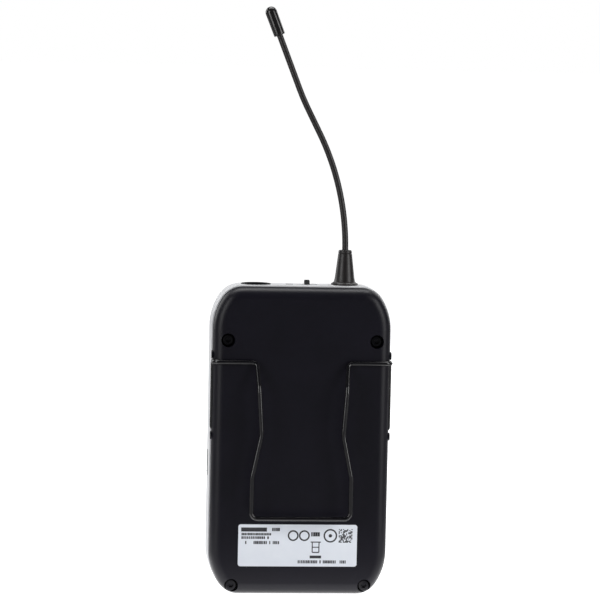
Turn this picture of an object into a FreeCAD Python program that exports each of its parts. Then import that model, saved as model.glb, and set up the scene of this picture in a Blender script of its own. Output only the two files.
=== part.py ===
"""Wireless bodypack transmitter: a parametric assembly of separate pieces, in millimetres.

Frame: the pack stands on its flat base. +Z is up, the rear face with the belt clip is +Y, and the
display and the battery door face -Y. Right is +X. The origin is on the base, midway between the sides.
"""
import FreeCAD, Part, Sketcher
import math
import os
import re

from FreeCAD import Placement, Rotation, Vector

doc = FreeCAD.newDocument("bodypack_transmitter")
sheet = doc.addObject("Spreadsheet::Sheet", "Dimensions")
# works out formulas for the shapes that are built in code
probe = doc.addObject("Spreadsheet::Sheet", "Probe")

# Every driving dimension. A z is a height above the base and a y is a depth, rear positive.
DIMENSIONS = {
    # case outline and walls
    "case_width": 64.0,
    "case_height": 110.0,
    "corner_run": 10.9,
    "corner_rise": 15.4,
    "corner_radius": 8.9,
    "front_y": -10.5,
    "rear_y": 10.5,
    "parting_y": 4.5,
    "tray_step": 0.4,
    "front_edge_radius": 3.0,
    "rear_edge_radius": 4.0,
    "side_wall": 1.8,
    "front_wall": 1.6,
    "tray_wall": 1.6,
    # the door opening in the front shell
    "opening_low_z": 4.0,
    "opening_high_z": 58.3,
    "opening_back_y": -5.6,
    "seam": 0.3,
    "shelf_thickness": 1.5,
    "shelf_back_y": 3.5,
    # battery door and its hinge
    "door_back_y": -6.2,
    "hinge_y": -8.9,
    "hinge_z": 5.8,
    "knuckle_radius": 1.5,
    "hinge_edge_radius": 1.6,
    "hinge_bore_radius": 0.78,
    "hinge_pin_radius": 0.7,
    "lug_radius": 1.3,
    "lug_bore_radius": 0.7,
    "hinge_offset": 19.5,
    "knuckle_length": 6.0,
    "lug_width": 2.6,
    "pad_thickness": 0.6,
    # release tabs
    "tab_mid_z": 45.6,
    "tab_length": 9.2,
    "tab_front_y": -5.2,
    "tab_depth": 2.8,
    "tab_proud": 0.3,
    "tab_flange": 1.0,
    "tab_travel": 1.2,
    "tab_fit": 0.15,
    # screws and their posts
    "upper_screw_x": 26.5,
    "upper_screw_z": 90.8,
    "lower_screw_x": 23.8,
    "lower_screw_z": 3.2,
    "screw_recess_radius": 2.45,
    "screw_seat_y": 7.0,
    "screw_head_radius": 2.2,
    "screw_head_height": 1.5,
    "screw_shank_radius": 1.05,
    "screw_hole_radius": 1.3,
    "screw_pilot_radius": 1.06,
    "screw_end_y": -4.0,
    "screw_socket_radius": 0.95,
    "screw_socket_depth": 0.9,
    "post_radius": 2.8,
    "tray_post_radius": 3.6,
    # belt clip
    "wire_radius": 0.8,
    "groove_radius": 0.95,
    "cross_wire_z": 83.2,
    "cross_wire_y": 11.4,
    "leg_x": 31.5,
    "leg_y": 6.6,
    "hook_z": 59.0,
    "hook_end_x": 29.4,
    "clip_split_x": 22.0,
    "clip_split_gap": 0.1,
    "clip_shoulder_x": 16.3,
    "clip_shoulder_z": 74.0,
    "clip_waist_x": 14.5,
    "clip_waist_z": 58.0,
    "clip_foot_x": 17.6,
    "clip_flare_z": 43.0,
    "clip_foot_z": 28.1,
    "clip_stand_y": 16.2,
    "clip_foot_y": 15.7,
    "lug_boss_radius": 1.4,
    "lug_boss_proud": 0.5,
    "upper_boss_z": 85.5,
    "lower_boss_z": 56.6,
    # label on the rear face
    "label_width": 42.5,
    "label_height": 15.05,
    "label_mid_x": 0.4,
    "label_mid_z": 17.8,
    "label_thickness": 0.12,
    "label_corner_radius": 0.9,
    # what stands in the top face
    "top_row_y": -2.6,
    "jack_x": 16.0,
    "jack_outer_radius": 5.35,
    "jack_mouth_radius": 4.4,
    "jack_throat_radius": 4.15,
    "jack_mouth_depth": 4.0,
    "jack_rim_height": 0.3,
    "jack_low_z": 97.0,
    "jack_floor_z": 101.0,
    "jack_nut_radius": 5.8,
    "jack_nut_height": 1.8,
    "jack_nut_relief": 0.4,
    "jack_pin_radius": 0.5,
    "jack_pin_circle": 2.2,
    "jack_pin_high_z": 105.8,
    "jack_pin_low_z": 95.4,
    "antenna_x": -15.85,
    "terminal_radius": 2.2,
    "terminal_low_z": 99.5,
    "terminal_high_z": 111.0,
    "terminal_foot_radius": 3.0,
    "terminal_foot_height": 1.2,
    "antenna_nut_radius": 3.6,
    "antenna_nut_height": 2.0,
    # antenna
    "boot_flange_radius": 4.85,
    "boot_flange_height": 0.9,
    "boot_base_radius": 3.6,
    "boot_shoulder_height": 3.2,
    "boot_shoulder_radius": 3.35,
    "boot_top_radius": 2.3,
    "boot_height": 12.5,
    "whip_radius": 1.1,
    "whip_bend_radius": 91.0,
    "whip_lean": 26.5,
    "whip_forward": 5.6,
    "whip_straight": 9.6,
    "whip_return_radius": 90.0,
    "whip_return": 5.4,
    "whip_last_run": 20.0,
    "cap_radius": 2.1,
    "cap_length": 10.7,
    "cap_overlap": 4.0,
    # power switch and status light
    "switch_x": -2.3,
    "switch_lever_width": 1.9,
    "switch_lever_depth": 2.2,
    "switch_lever_high_z": 111.7,
    "switch_travel": 2.5,
    "switch_gap": 0.25,
    "switch_recess_low_x": -6.1,
    "switch_recess_high_x": 2.3,
    "switch_recess_depth": 0.4,
    "switch_recess_half": 1.7,
    "switch_body_low_z": 103.1,
    "switch_body_high_z": 107.4,
    "status_x": 3.9,
    "status_half": 1.4,
    "status_lens_half": 0.7,
    "top_board_z": 102.0,
    # faces that look forwards
    "display_z": 94.0,
    "display_half_width": 9.5,
    "display_half_height": 6.5,
    "window_depth": 0.9,
    "window_ledge": 1.0,
    "button_x": 9.0,
    "button_z": 78.0,
    "button_radius": 3.0,
    "button_flange_radius": 3.7,
    "button_proud": 0.6,
    "button_travel": 0.4,
    "button_fit": 0.15,
    "knob_z": 67.5,
    "knob_radius": 4.0,
    "knob_proud": 0.5,
    "knob_fit": 0.25,
    # boards
    "main_board_y": 4.7,
    "board_thickness": 1.2,
    "main_board_half": 22.2,
    "main_board_low_z": 62.0,
    "main_board_high_z": 96.4,
    "display_board_y": -4.6,
    "display_board_thickness": 1.0,
    "board_post_x": 19.5,
    "board_post_low_z": 65.5,
    "board_post_high_z": 93.2,
    "board_post_radius": 2.0,
    "board_screw_radius": 0.8,
    "board_screw_head_radius": 1.7,
    "board_screw_head_height": 1.1,
    "board_screw_length": 6.0,
    "display_post_x": 13.2,
    "display_post_z": 69.0,
    # batteries
    "cell_x": 8.0,
    "cell_y": -0.9,
    "cell_radius": 7.2,
    "cell_length": 49.5,
    "cell_nub_radius": 2.75,
    "cell_nub_height": 1.0,
    "tray_floor_z": 4.9,
    "tray_floor_thickness": 1.0,
    "tray_ceiling_z": 57.5,
    "tray_half_width": 17.0,
    "tray_front_y": -6.8,
    "tray_back_y": 6.5,
    "contact_thickness": 0.3,
    "spring_height": 1.5,
    "spring_radius": 3.4,
    "spring_wire_radius": 0.3,
}
for row, (alias, value) in enumerate(DIMENSIONS.items(), start=1):
    sheet.set(f"A{row}", alias)
    sheet.set(f"B{row}", repr(value))
    sheet.setAlias(f"B{row}", alias)
doc.recompute()

WORDS = re.compile(r"\b(" + "|".join(sorted(DIMENSIONS, key=len, reverse=True)) + r")\b")
UP = Rotation()
REARWARD = Rotation(Vector(1, 0, 0), -90)
FORWARD = Rotation(Vector(1, 0, 0), 90)
RIGHTWARD = Rotation(Vector(0, 1, 0), 90)
FAR = "150"


def size(alias):
    """A driving dimension's value, for the shapes that are built in code."""
    return float(getattr(sheet, alias))


def linked(text):
    """A formula on the dimension names, written the way the document's expressions want it."""
    return WORDS.sub(r"Dimensions.\1", str(text))


def bind(thing, **formulas):
    """Bind properties to formulas; a double underscore stands for a dot in the property's path."""
    for name, text in formulas.items():
        thing.setExpression(name.replace("__", "."), linked(text))
    return thing


def place(thing, x, y, z, turn=UP):
    thing.Placement = Placement(Vector(), turn)
    return bind(thing, Placement__Base__x=x, Placement__Base__y=y, Placement__Base__z=z)


# ---------------------------------------------------------------- primitives and booleans

def box(name, x, y, z):
    """A box from three (low, high) pairs of formulas."""
    solid = doc.addObject("Part::Box", name)
    bind(solid, Length=f"({x[1]}) - ({x[0]})", Width=f"({y[1]}) - ({y[0]})", Height=f"({z[1]}) - ({z[0]})")
    return place(solid, x[0], y[0], z[0])


def rod(name, radius, axis, span, centre):
    """A cylinder along axis X, Y or Z. centre holds the other two coordinates, in order."""
    solid = doc.addObject("Part::Cylinder", name)
    bind(solid, Radius=radius, Height=f"({span[1]}) - ({span[0]})")
    if axis == "X":
        return place(solid, span[0], centre[0], centre[1], RIGHTWARD)
    if axis == "Y":
        return place(solid, centre[0], span[0], centre[1], REARWARD)
    return place(solid, centre[0], centre[1], span[0])


def fuse(name, *shapes):
    solid = doc.addObject("Part::MultiFuse", name)
    solid.Shapes = list(shapes)
    return solid


def common(name, *shapes):
    solid = doc.addObject("Part::MultiCommon", name)
    solid.Shapes = list(shapes)
    return solid


def cut(name, base, *tools):
    solid = doc.addObject("Part::Cut", name)
    solid.Base = base
    solid.Tool = tools[0] if len(tools) == 1 else fuse(name + "_tools", *tools)
    return solid


def group(name, *shapes):
    """Identical pieces that share one node, kept as separate solids."""
    together = doc.addObject("Part::Compound", name)
    together.Links = list(shapes)
    return together


def softened(name, base, radius, chosen):
    """Fillet the edges of base for which chosen(edge) is true."""
    doc.recompute()
    edges = [n for n, edge in enumerate(base.Shape.Edges, start=1) if chosen(edge)]
    solid = doc.addObject("Part::Fillet", name)
    solid.Base = base
    solid.Edges = [(n, radius, radius) for n in edges]
    return solid


def along(axis):
    """A test for straight edges parallel to axis."""
    def test(edge):
        return edge.Curve.TypeId == "Part::GeomLine" and abs(edge.tangentAt(0).dot(axis)) > 0.999
    return test


# ---------------------------------------------------------------- sketched bodies

def origin_plane(body, role):
    return next(plane for plane in body.Origin.OriginFeatures if plane.Role == role)


def new_sketch(body, name, role="XZ_Plane"):
    sketch = body.newObject("Sketcher::SketchObject", name)
    sketch.AttachmentSupport = (origin_plane(body, role), [""])
    sketch.MapMode = "FlatFace"
    return sketch


def constrain(sketch, kind, *parts, formula=None):
    """Add one constraint, and bind it to a formula where it has a value."""
    if formula is None:
        return sketch.addConstraint(Sketcher.Constraint(kind, *parts))
    index = sketch.addConstraint(Sketcher.Constraint(kind, *parts))
    sketch.renameConstraint(index, f"{kind}{index}")
    sketch.setExpression(f"Constraints.{kind}{index}", linked(formula))
    return index


def turned(name, profile, at, turn=UP):
    """A solid of revolution. profile lists (radius, height) formulas; height runs along the axis."""
    body = doc.addObject("PartDesign::Body", name)
    sketch = new_sketch(body, name + "_profile")
    points = [Vector(value_of(r), value_of(h), 0) for r, h in profile]
    for start, end in zip(points, points[1:] + points[:1]):
        sketch.addGeometry(Part.LineSegment(start, end), False)
    count = len(points)
    for n, (r, h) in enumerate(profile):
        constrain(sketch, "Coincident", (n - 1) % count, 2, n, 1)
        if str(r) == "0":
            constrain(sketch, "PointOnObject", n, 1, -2)
        else:
            constrain(sketch, "DistanceX", -1, 1, n, 1, points[n].x, formula=r)
        if str(h) == "0":
            constrain(sketch, "PointOnObject", n, 1, -1)
        else:
            constrain(sketch, "DistanceY", -1, 1, n, 1, points[n].y, formula=h)
    solid = body.newObject("PartDesign::Revolution", name + "_turn")
    solid.Profile = sketch
    solid.ReferenceAxis = (sketch, ["V_Axis"])
    solid.Angle = 360
    sketch.Visibility = False
    place(body, *at, turn)
    return body


def value_of(text):
    """The number that a formula on the dimension names gives."""
    probe.set("A1", "=" + linked(text))
    probe.recompute()
    return float(probe.get("A1"))


def case_slab(name, inset, y_low, y_high, edge_radius=None, rounded_side=None, foot=None):
    """The case outline, drawn in by inset and extruded through a span of depths.

    Each corner is two tangent arcs, a wide one against the side and a tight one against the end, so it
    is taller than it is wide. rounded_side is "front" or "rear": the face whose rim gets edge_radius.
    foot is the height of the bottom edge where that is not drawn in with the rest.
    """
    body = doc.addObject("PartDesign::Body", name)
    sketch = new_sketch(body, name + "_outline")
    half = value_of(f"case_width / 2 - ({inset})")
    foot = inset if foot is None else foot
    low = value_of(foot)
    high = value_of(f"case_height - ({inset})")
    run = value_of(f"corner_run - ({inset})")
    rise = value_of(f"corner_rise - ({inset})")
    tight = value_of(f"corner_radius - ({inset})")
    wide_formula = (
        f"((corner_run - ({inset})) ^ 2 + (corner_rise - ({inset})) ^ 2"
        f" - 2 * (corner_rise - ({inset})) * (corner_radius - ({inset}))) / (2 * (corner_run - corner_radius))"
    )
    wide = value_of(wide_formula)
    # the two arcs meet on the line through both centres
    lean = math.atan2(rise - tight, wide - run)

    def corner(sx, sz):
        """The wide and the tight arc of one corner, from the side towards the end."""
        edge_z = high if sz > 0 else low
        wide_centre = Vector(sx * (half - wide), edge_z - sz * rise, 0)
        tight_centre = Vector(sx * (half - run), edge_z - sz * tight, 0)

        def at(centre, radius, angle):
            return centre + Vector(sx * radius * math.cos(angle), sz * radius * math.sin(angle), 0)

        first = [at(wide_centre, wide, a) for a in (0, lean / 2, lean)]
        second = [at(tight_centre, tight, a) for a in (lean, (lean + math.pi / 2) / 2, math.pi / 2)]
        return first, second

    pieces = []
    for sx, sz, flip in ((1, 1, False), (-1, 1, True), (-1, -1, False), (1, -1, True)):
        arcs = corner(sx, sz)
        pieces.append([list(reversed(a)) for a in reversed(arcs)] if flip else list(arcs))
    edges = []
    for n, arcs in enumerate(pieces):
        edges += [("arc", arcs[0]), ("arc", arcs[1])]
        edges.append(("line", [arcs[1][2], pieces[(n + 1) % 4][0][0]]))
    for kind, points in edges:
        curve = Part.Arc(*points) if kind == "arc" else Part.LineSegment(*points)
        sketch.addGeometry(curve, False)
    ends = arc_ends(sketch, edges)
    for n in range(len(edges)):
        following = (n + 1) % len(edges)
        constrain(sketch, "Tangent", n, ends[n][1], following, ends[following][0])
    top, left, bottom, right = 2, 5, 8, 11
    for line in (top, bottom):
        constrain(sketch, "Horizontal", line)
    for line in (left, right):
        constrain(sketch, "Vertical", line)
    radii = {0: "wide", 1: "tight", 3: "tight", 4: "wide", 6: "wide", 7: "tight", 9: "tight", 10: "wide"}
    for arc, kind in radii.items():
        if kind == "wide":
            constrain(sketch, "Radius", arc, wide, formula=wide_formula)
        else:
            constrain(sketch, "Radius", arc, tight, formula=f"corner_radius - ({inset})")
    constrain(sketch, "DistanceX", -1, 1, right, 1, half, formula=f"case_width / 2 - ({inset})")
    constrain(sketch, "DistanceX", left, 1, -1, 1, half, formula=f"case_width / 2 - ({inset})")
    constrain(sketch, "DistanceY", -1, 1, top, 1, high, formula=f"case_height - ({inset})")
    constrain(sketch, "DistanceY", -1, 1, bottom, 1, low, formula=foot)
    rise_formula = f"corner_rise - ({inset})"
    constrain(sketch, "DistanceY", right, 2, top, 1, rise, formula=rise_formula)
    constrain(sketch, "DistanceY", left, 1, top, 2, rise, formula=rise_formula)
    constrain(sketch, "DistanceY", bottom, 1, left, 2, rise, formula=rise_formula)
    constrain(sketch, "DistanceY", bottom, 2, right, 1, rise, formula=rise_formula)
    pad = body.newObject("PartDesign::Pad", name + "_pad")
    pad.Profile = sketch
    bind(pad, Length=f"({y_high}) - ({y_low})")
    sketch.Visibility = False
    if edge_radius is not None:
        doc.recompute()
        lengthwise = [v.Point.y for v in pad.Shape.Vertexes]
        rim_y = min(lengthwise) if rounded_side == "front" else max(lengthwise)
        rim = [
            f"Edge{n}"
            for n, edge in enumerate(pad.Shape.Edges, start=1)
            if all(abs(v.Point.y - rim_y) < 1e-6 for v in edge.Vertexes)
        ]
        fillet = body.newObject("PartDesign::Fillet", name + "_rim")
        fillet.Base = (pad, rim)
        bind(fillet, Radius=edge_radius)
    # the pad runs towards -Y from the plane of the sketch
    return place(body, "0", y_high, "0")


def arc_ends(sketch, edges):
    """Which end of each edge, 1 or 2, comes first and which last on the way round the outline."""
    ends = []
    for n, (_, points) in enumerate(edges):
        forwards = (sketch.getPoint(n, 1) - points[0]).Length < 1e-6
        ends.append((1, 2) if forwards else (2, 1))
    return ends


def rounded_path(points, radii):
    """A wire of straight runs through points, its inner corners rounded by tangent arcs."""
    edges, last = [], points[0]
    for before, corner, after, radius in zip(points, points[1:], points[2:], radii):
        into, out = (corner - before).normalize(), (after - corner).normalize()
        turn = into.getAngle(out)
        back = radius * math.tan(turn / 2)
        start, end = corner - into * back, corner + out * back
        inward = (out - into).normalize()
        middle = corner + inward * (radius / math.cos(turn / 2) - radius)
        if (start - last).Length > 1e-6:
            edges.append(Part.LineSegment(last, start).toShape())
        edges.append(Part.Arc(start, middle, end).toShape())
        last = end
    edges.append(Part.LineSegment(last, points[-1]).toShape())
    return Part.Wire(edges)


def wire_sweep(name, points, radii, radius):
    """Round wire along a rounded path. The path and the section are objects of the document."""
    path = doc.addObject("Part::Feature", name + "_path")
    path.Shape = rounded_path(points, radii)
    section = doc.addObject("Part::Circle", name + "_section")
    bind(section, Radius=radius)
    along_path = (points[1] - points[0]).normalize()
    section.Placement = Placement(points[0], Rotation(Vector(0, 0, 1), along_path))
    sweep = doc.addObject("Part::Sweep", name)
    sweep.Sections = [section]
    sweep.Spine = (path, [])
    sweep.Solid = True
    sweep.Frenet = False
    return sweep


nodes = {}


def keep(node, thing):
    """Name a finished sub-part after its node."""
    thing.Label = node
    nodes[node] = thing
    return thing


# ---------------------------------------------------------------- case

def screw_places():
    """The (name, x, z) formulas of the four case screws."""
    for side, sign in (("right", ""), ("left", "-")):
        yield f"upper_{side}", sign + "upper_screw_x", "upper_screw_z"
        yield f"lower_{side}", sign + "lower_screw_x", "lower_screw_z"


def front_solid():
    """The light half's outside, with a rounded front rim, less its inside: shell, sill and door in one."""
    outside = case_slab("front_outside", "0", "front_y", "parting_y", "front_edge_radius", "front")
    inside = case_slab("front_inside", "side_wall", "front_y + front_wall", "parting_y + seam",
                       "front_edge_radius - front_wall", "front")
    return outside, cut("front_blank", outside, inside)


def hinge_lug(name, x_low, x_high):
    """A lug of the sill that carries one end of a hinge pin."""
    eye = rod(name + "_eye", "lug_radius", "X", (x_low, x_high), ("hinge_y", "hinge_z"))
    stem = box(name + "_stem", (x_low, x_high), ("hinge_y - lug_radius", "hinge_y + lug_radius"),
               ("side_wall / 2", "hinge_z"))
    return fuse(name, eye, stem)


def hinge_lugs():
    lugs = []
    for side, sign in (("right", 1), ("left", -1)):
        for where, direction in (("outer", 1), ("inner", -1)):
            near = "knuckle_length / 2 + seam"
            far = "knuckle_length / 2 + seam + lug_width"
            ends = [f"{sign} * (hinge_offset + {direction} * ({d}))" for d in (near, far)]
            ends.sort(key=value_of)
            lugs.append(hinge_lug(f"lug_{side}_{where}", *ends))
    return lugs


def front_shell(outside, blank):
    opening = box("door_opening", (f"-{FAR}", FAR), (f"-{FAR}", "opening_back_y"),
                  ("opening_low_z", "opening_high_z"))
    walls = cut("front_walls", blank, opening)
    shelf = box("shelf", ("side_wall / 2 - case_width / 2", "case_width / 2 - side_wall / 2"),
                ("front_y + front_wall / 2", "shelf_back_y"),
                ("opening_high_z", "opening_high_z + shelf_thickness"))
    posts = []
    for name, x, z in screw_places():
        front = "front_y + front_wall / 2" if name.startswith("upper") else "opening_back_y"
        posts.append(rod(f"post_{name}", "post_radius", "Y", (front, "parting_y"), (x, z)))
    for name, x, z in board_places():
        posts.append(rod(f"post_{name}", "board_post_radius", "Y",
                         ("front_y + front_wall / 2", "main_board_y"), (x, z)))
    for side, sign in (("right", ""), ("left", "-")):
        posts.append(rod(f"display_post_{side}", "board_post_radius", "Y",
                         ("front_y + front_wall / 2", "display_board_y - display_board_thickness"),
                         (sign + "display_post_x", "display_post_z")))
    frames = common("front_frames", fuse("front_inner_parts", shelf, *posts, *hinge_lugs()), outside)
    solid = fuse("front_joined", walls, frames)
    holes = []
    for name, x, z in screw_places():
        holes.append(rod(f"pilot_{name}", "screw_pilot_radius", "Y",
                         ("screw_end_y - seam", "parting_y + seam"), (x, z)))
    for name, x, z in board_places():
        holes.append(rod(f"pilot_{name}", "board_screw_radius", "Y",
                         ("main_board_y - board_screw_length", "main_board_y + seam"), (x, z)))
    for side, sign in (("right", ""), ("left", "-")):
        holes.append(rod(f"display_pilot_{side}", "board_screw_radius", "Y",
                         ("front_y + front_wall", "display_board_y"), (sign + "display_post_x", "display_post_z")))
    holes.append(rod("lug_bores", "lug_bore_radius", "X",
                     ("0 - hinge_offset - knuckle_length - lug_width", "hinge_offset + knuckle_length + lug_width"),
                     ("hinge_y", "hinge_z")))
    holes += top_openings() + front_openings()
    for side, sign in (("right", 1), ("left", -1)):
        ends = sorted([f"{sign} * (case_width / 2 - 3)", f"{sign} * (case_width / 2 + 1)"], key=value_of)
        holes.append(box(f"tab_slot_{side}", ends, ("tab_front_y - tab_fit", "tab_front_y + tab_depth + tab_fit"),
                         ("tab_mid_z - tab_length / 2 - tab_fit", "tab_mid_z + tab_length / 2 + tab_fit")))
    return keep("front_shell", cut("front_shell", solid, *holes))


def top_openings():
    """Openings in the top face: jack, antenna, switch slot in its recess, and status light."""
    above = "case_height + 1"
    under = "case_height - side_wall - 1"
    slot_low = "switch_x - switch_travel - switch_lever_width / 2 - switch_gap"
    slot_high = "switch_x + switch_lever_width / 2 + switch_gap"
    return [
        rod("jack_hole", "jack_outer_radius + 0.02", "Z", (under, above), ("jack_x", "top_row_y")),
        rod("antenna_hole", "terminal_radius + 0.02", "Z", (under, above), ("antenna_x", "top_row_y")),
        box("switch_slot", (slot_low, slot_high),
            ("top_row_y - switch_lever_depth / 2 - switch_gap", "top_row_y + switch_lever_depth / 2 + switch_gap"),
            (under, above)),
        box("switch_recess", ("switch_recess_low_x", "switch_recess_high_x"),
            ("top_row_y - switch_recess_half", "top_row_y + switch_recess_half"),
            ("case_height - switch_recess_depth", above)),
        box("status_hole", ("status_x - status_half", "status_x + status_half"),
            ("top_row_y - status_lens_half", "top_row_y + status_lens_half"), (under, above)),
    ]


def front_openings():
    """Openings in the front face: display window on a ledge, two buttons and the gain knob."""
    outside_span = ("front_y - 1", "front_y + window_depth")
    through_span = ("front_y - 1", "front_y + front_wall + 1")
    openings = [
        box("window_seat", ("0 - display_half_width", "display_half_width"), outside_span,
            ("display_z - display_half_height", "display_z + display_half_height")),
        box("window_opening", ("window_ledge - display_half_width", "display_half_width - window_ledge"),
            through_span,
            ("display_z - display_half_height + window_ledge", "display_z + display_half_height - window_ledge")),
        rod("knob_hole", "knob_radius + knob_fit", "Y", through_span, ("0", "knob_z")),
    ]
    for side, sign in (("right", ""), ("left", "-")):
        openings.append(rod(f"button_hole_{side}", "button_radius + button_fit", "Y", through_span,
                            (sign + "button_x", "button_z")))
    return openings


def clip_leg_points(side):
    """The route of one clip leg, from the hook in the socket to the split in the cross wire."""
    leg_x, leg_y, top = size("leg_x"), size("leg_y"), size("cross_wire_z")
    split = size("clip_split_x") + size("clip_split_gap") / 2
    return [
        Vector(side * size("hook_end_x"), leg_y, size("hook_z")),
        Vector(side * leg_x, leg_y, size("hook_z")),
        Vector(side * leg_x, leg_y, top),
        Vector(side * leg_x, size("cross_wire_y"), top),
        Vector(side * split, size("cross_wire_y"), top),
    ]


LEG_BENDS = [1.1, 1.6, 2.0]


def rear_shell():
    # the tray is drawn in at its sides and top, and level with the front shell at the base it stands on
    outside = case_slab("tray_outside", "tray_step", "parting_y", "rear_y", "rear_edge_radius", "rear", "0")
    inside = case_slab("tray_inside", "tray_step + tray_wall", "parting_y - seam", "rear_y - tray_wall",
                       "rear_edge_radius - tray_wall", "rear")
    shell = cut("tray_blank", outside, inside)
    posts = [rod(f"tray_post_{name}", "tray_post_radius", "Y", ("parting_y", "rear_y"), (x, z))
             for name, x, z in screw_places()]
    posts = common("tray_posts", fuse("tray_posts_all", *posts), outside)
    bosses = []
    for side, sign in (("right", 1), ("left", -1)):
        for level in ("upper", "lower"):
            ends = sorted([f"{sign} * (case_width / 2 - tray_step - tray_wall)",
                           f"{sign} * (case_width / 2 - tray_step + lug_boss_proud)"], key=value_of)
            bosses.append(rod(f"boss_{level}_{side}", "lug_boss_radius", "X", ends, ("leg_y", f"{level}_boss_z")))
    solid = fuse("tray_joined", shell, posts, *bosses)
    holes = []
    for name, x, z in screw_places():
        holes.append(rod(f"recess_{name}", "screw_recess_radius", "Y", ("screw_seat_y", "rear_y + 1"), (x, z)))
        holes.append(rod(f"passage_{name}", "screw_hole_radius", "Y", ("parting_y - 1", "rear_y + 1"), (x, z)))
    for side, sign in (("right", 1), ("left", -1)):
        holes.append(wire_sweep(f"groove_{side}", clip_leg_points(sign), LEG_BENDS, "groove_radius"))
    return keep("rear_shell", cut("rear_shell", solid, *holes))


def battery_door(blank):
    """The lower front, cut from the same blank as the shell, rounded about its hinge at the bottom."""
    region = box("door_region", (f"-{FAR}", FAR), (f"-{FAR}", "door_back_y"),
                 ("opening_low_z + seam", "opening_high_z - seam"))
    panel = common("door_panel", blank, region)
    below = box("door_edge_block", (f"-{FAR}", FAR), ("front_y - 1", "hinge_y"), ("opening_low_z", "hinge_z"))
    round_edge = rod("door_edge_round", "hinge_edge_radius", "X", (f"-{FAR}", FAR), ("hinge_y", "hinge_z"))
    rounding = cut("door_edge_waste", below, round_edge)
    gaps = []
    for side, sign in (("right", 1), ("left", -1)):
        for where, direction in (("outer", 1), ("inner", -1)):
            near, far = "knuckle_length / 2", "knuckle_length / 2 + 2 * seam + lug_width"
            ends = [f"{sign} * (hinge_offset + {direction} * ({d}))" for d in (near, far)]
            ends.sort(key=value_of)
            name = f"lug_gap_{side}_{where}"
            eye = rod(name + "_eye", "hinge_edge_radius + 0.05", "X", ends, ("hinge_y", "hinge_z"))
            foot = box(name + "_foot", ends, ("front_y - 1", "door_back_y + 1"), ("opening_low_z", "hinge_z"))
            notch = box(name + "_notch", ends, ("front_y - 1", "hinge_y"),
                        ("hinge_z", "hinge_z + hinge_edge_radius + 0.05"))
            gaps += [eye, foot, notch]
    body = cut("door_body", panel, rounding, *gaps)
    knuckles = []
    for side, sign in (("right", ""), ("left", "-")):
        centre = f"({sign}hinge_offset)"
        span = (f"{centre} - knuckle_length / 2", f"{centre} + knuckle_length / 2")
        knuckles.append(rod(f"knuckle_{side}", "knuckle_radius", "X", span, ("hinge_y", "hinge_z")))
    solid = fuse("door_joined", body, *knuckles)
    bore = rod("door_bore", "hinge_bore_radius", "X", (f"-{FAR}", FAR), ("hinge_y", "hinge_z"))
    return keep("battery_door", cut("battery_door", solid, bore))


def hinge_pins():
    pins = []
    for side, sign in (("right", ""), ("left", "-")):
        reach = "knuckle_length / 2 + seam + lug_width"
        centre = f"({sign}hinge_offset)"
        pins.append(rod(f"hinge_pin_{side}", "hinge_pin_radius", "X",
                        (f"{centre} - ({reach})", f"{centre} + {reach}"), ("hinge_y", "hinge_z")))
    return keep("door_hinge_pins", group("door_hinge_pins", *pins))


def foam_pad():
    return keep("door_foam_pad", box(
        "door_foam_pad", ("2 - tray_half_width", "tray_half_width - 2"),
        ("front_y + front_wall", "front_y + front_wall + pad_thickness"), ("20", "44")))


def release_tab(side, sign):
    """A finger pad that passes through the side wall, with a flange that keeps it in."""
    outer = f"{sign} * (case_width / 2 + tab_proud)"
    wall = f"{sign} * (case_width / 2 - side_wall - 0.1)"
    flange = f"{sign} * (case_width / 2 - side_wall - 0.1 - tab_flange)"
    name = f"door_release_tab_{side}"
    pad_x = sorted([outer, wall], key=value_of)
    flange_x = sorted([wall, flange], key=value_of)
    pad = box(name + "_pad", pad_x, ("tab_front_y", "tab_front_y + tab_depth"),
              ("tab_mid_z - tab_length / 2", "tab_mid_z + tab_length / 2"))
    pad = softened(name + "_pad_soft", pad, 0.6, along(Vector(1, 0, 0)))
    rim = box(name + "_rim", flange_x, ("tab_front_y", "tab_front_y + tab_depth + 1"),
              ("tab_mid_z - tab_length / 2 - 1", "tab_mid_z + tab_length / 2 + 1"))
    return keep(name, fuse(name, pad, rim))


# ---------------------------------------------------------------- fasteners

def screw(name, x, z, head_y, end_y, head_radius, head_height, shank_radius, socket_radius, socket_depth):
    """A screw driven from the rear: its head stands on head_y and its shank ends at end_y."""
    head = f"({head_y}) - ({end_y})"
    profile = [
        ("0", "0"),
        (shank_radius, "0"),
        (shank_radius, head),
        (head_radius, head),
        (head_radius, f"{head} + {head_height} - 0.2"),
        (f"{head_radius} - 0.2", f"{head} + {head_height}"),
        (socket_radius, f"{head} + {head_height}"),
        (socket_radius, f"{head} + {head_height} - {socket_depth}"),
        ("0", f"{head} + {head_height} - {socket_depth}"),
    ]
    return turned(name, profile, (x, end_y, z), REARWARD)


def case_screws(level):
    screws = [
        screw(f"case_screw_{name}", x, z, "screw_seat_y", "screw_end_y", "screw_head_radius",
              "screw_head_height", "screw_shank_radius", "screw_socket_radius", "screw_socket_depth")
        for name, x, z in screw_places() if name.startswith(level)
    ]
    return keep(f"case_screws_{level}", group(f"case_screws_{level}", *screws))


def small_screw(name, x, z, face_y, length):
    return screw(name, x, z, face_y, f"({face_y}) - {length}", "board_screw_head_radius",
                 "board_screw_head_height", "(board_screw_radius - 0.02)", "0.6", "0.5")


def board_places():
    """The (name, x, z) formulas of the main board's four screws."""
    for side, sign in (("right", ""), ("left", "-")):
        yield f"board_low_{side}", sign + "board_post_x", "board_post_low_z"
        yield f"board_high_{side}", sign + "board_post_x", "board_post_high_z"


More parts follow.
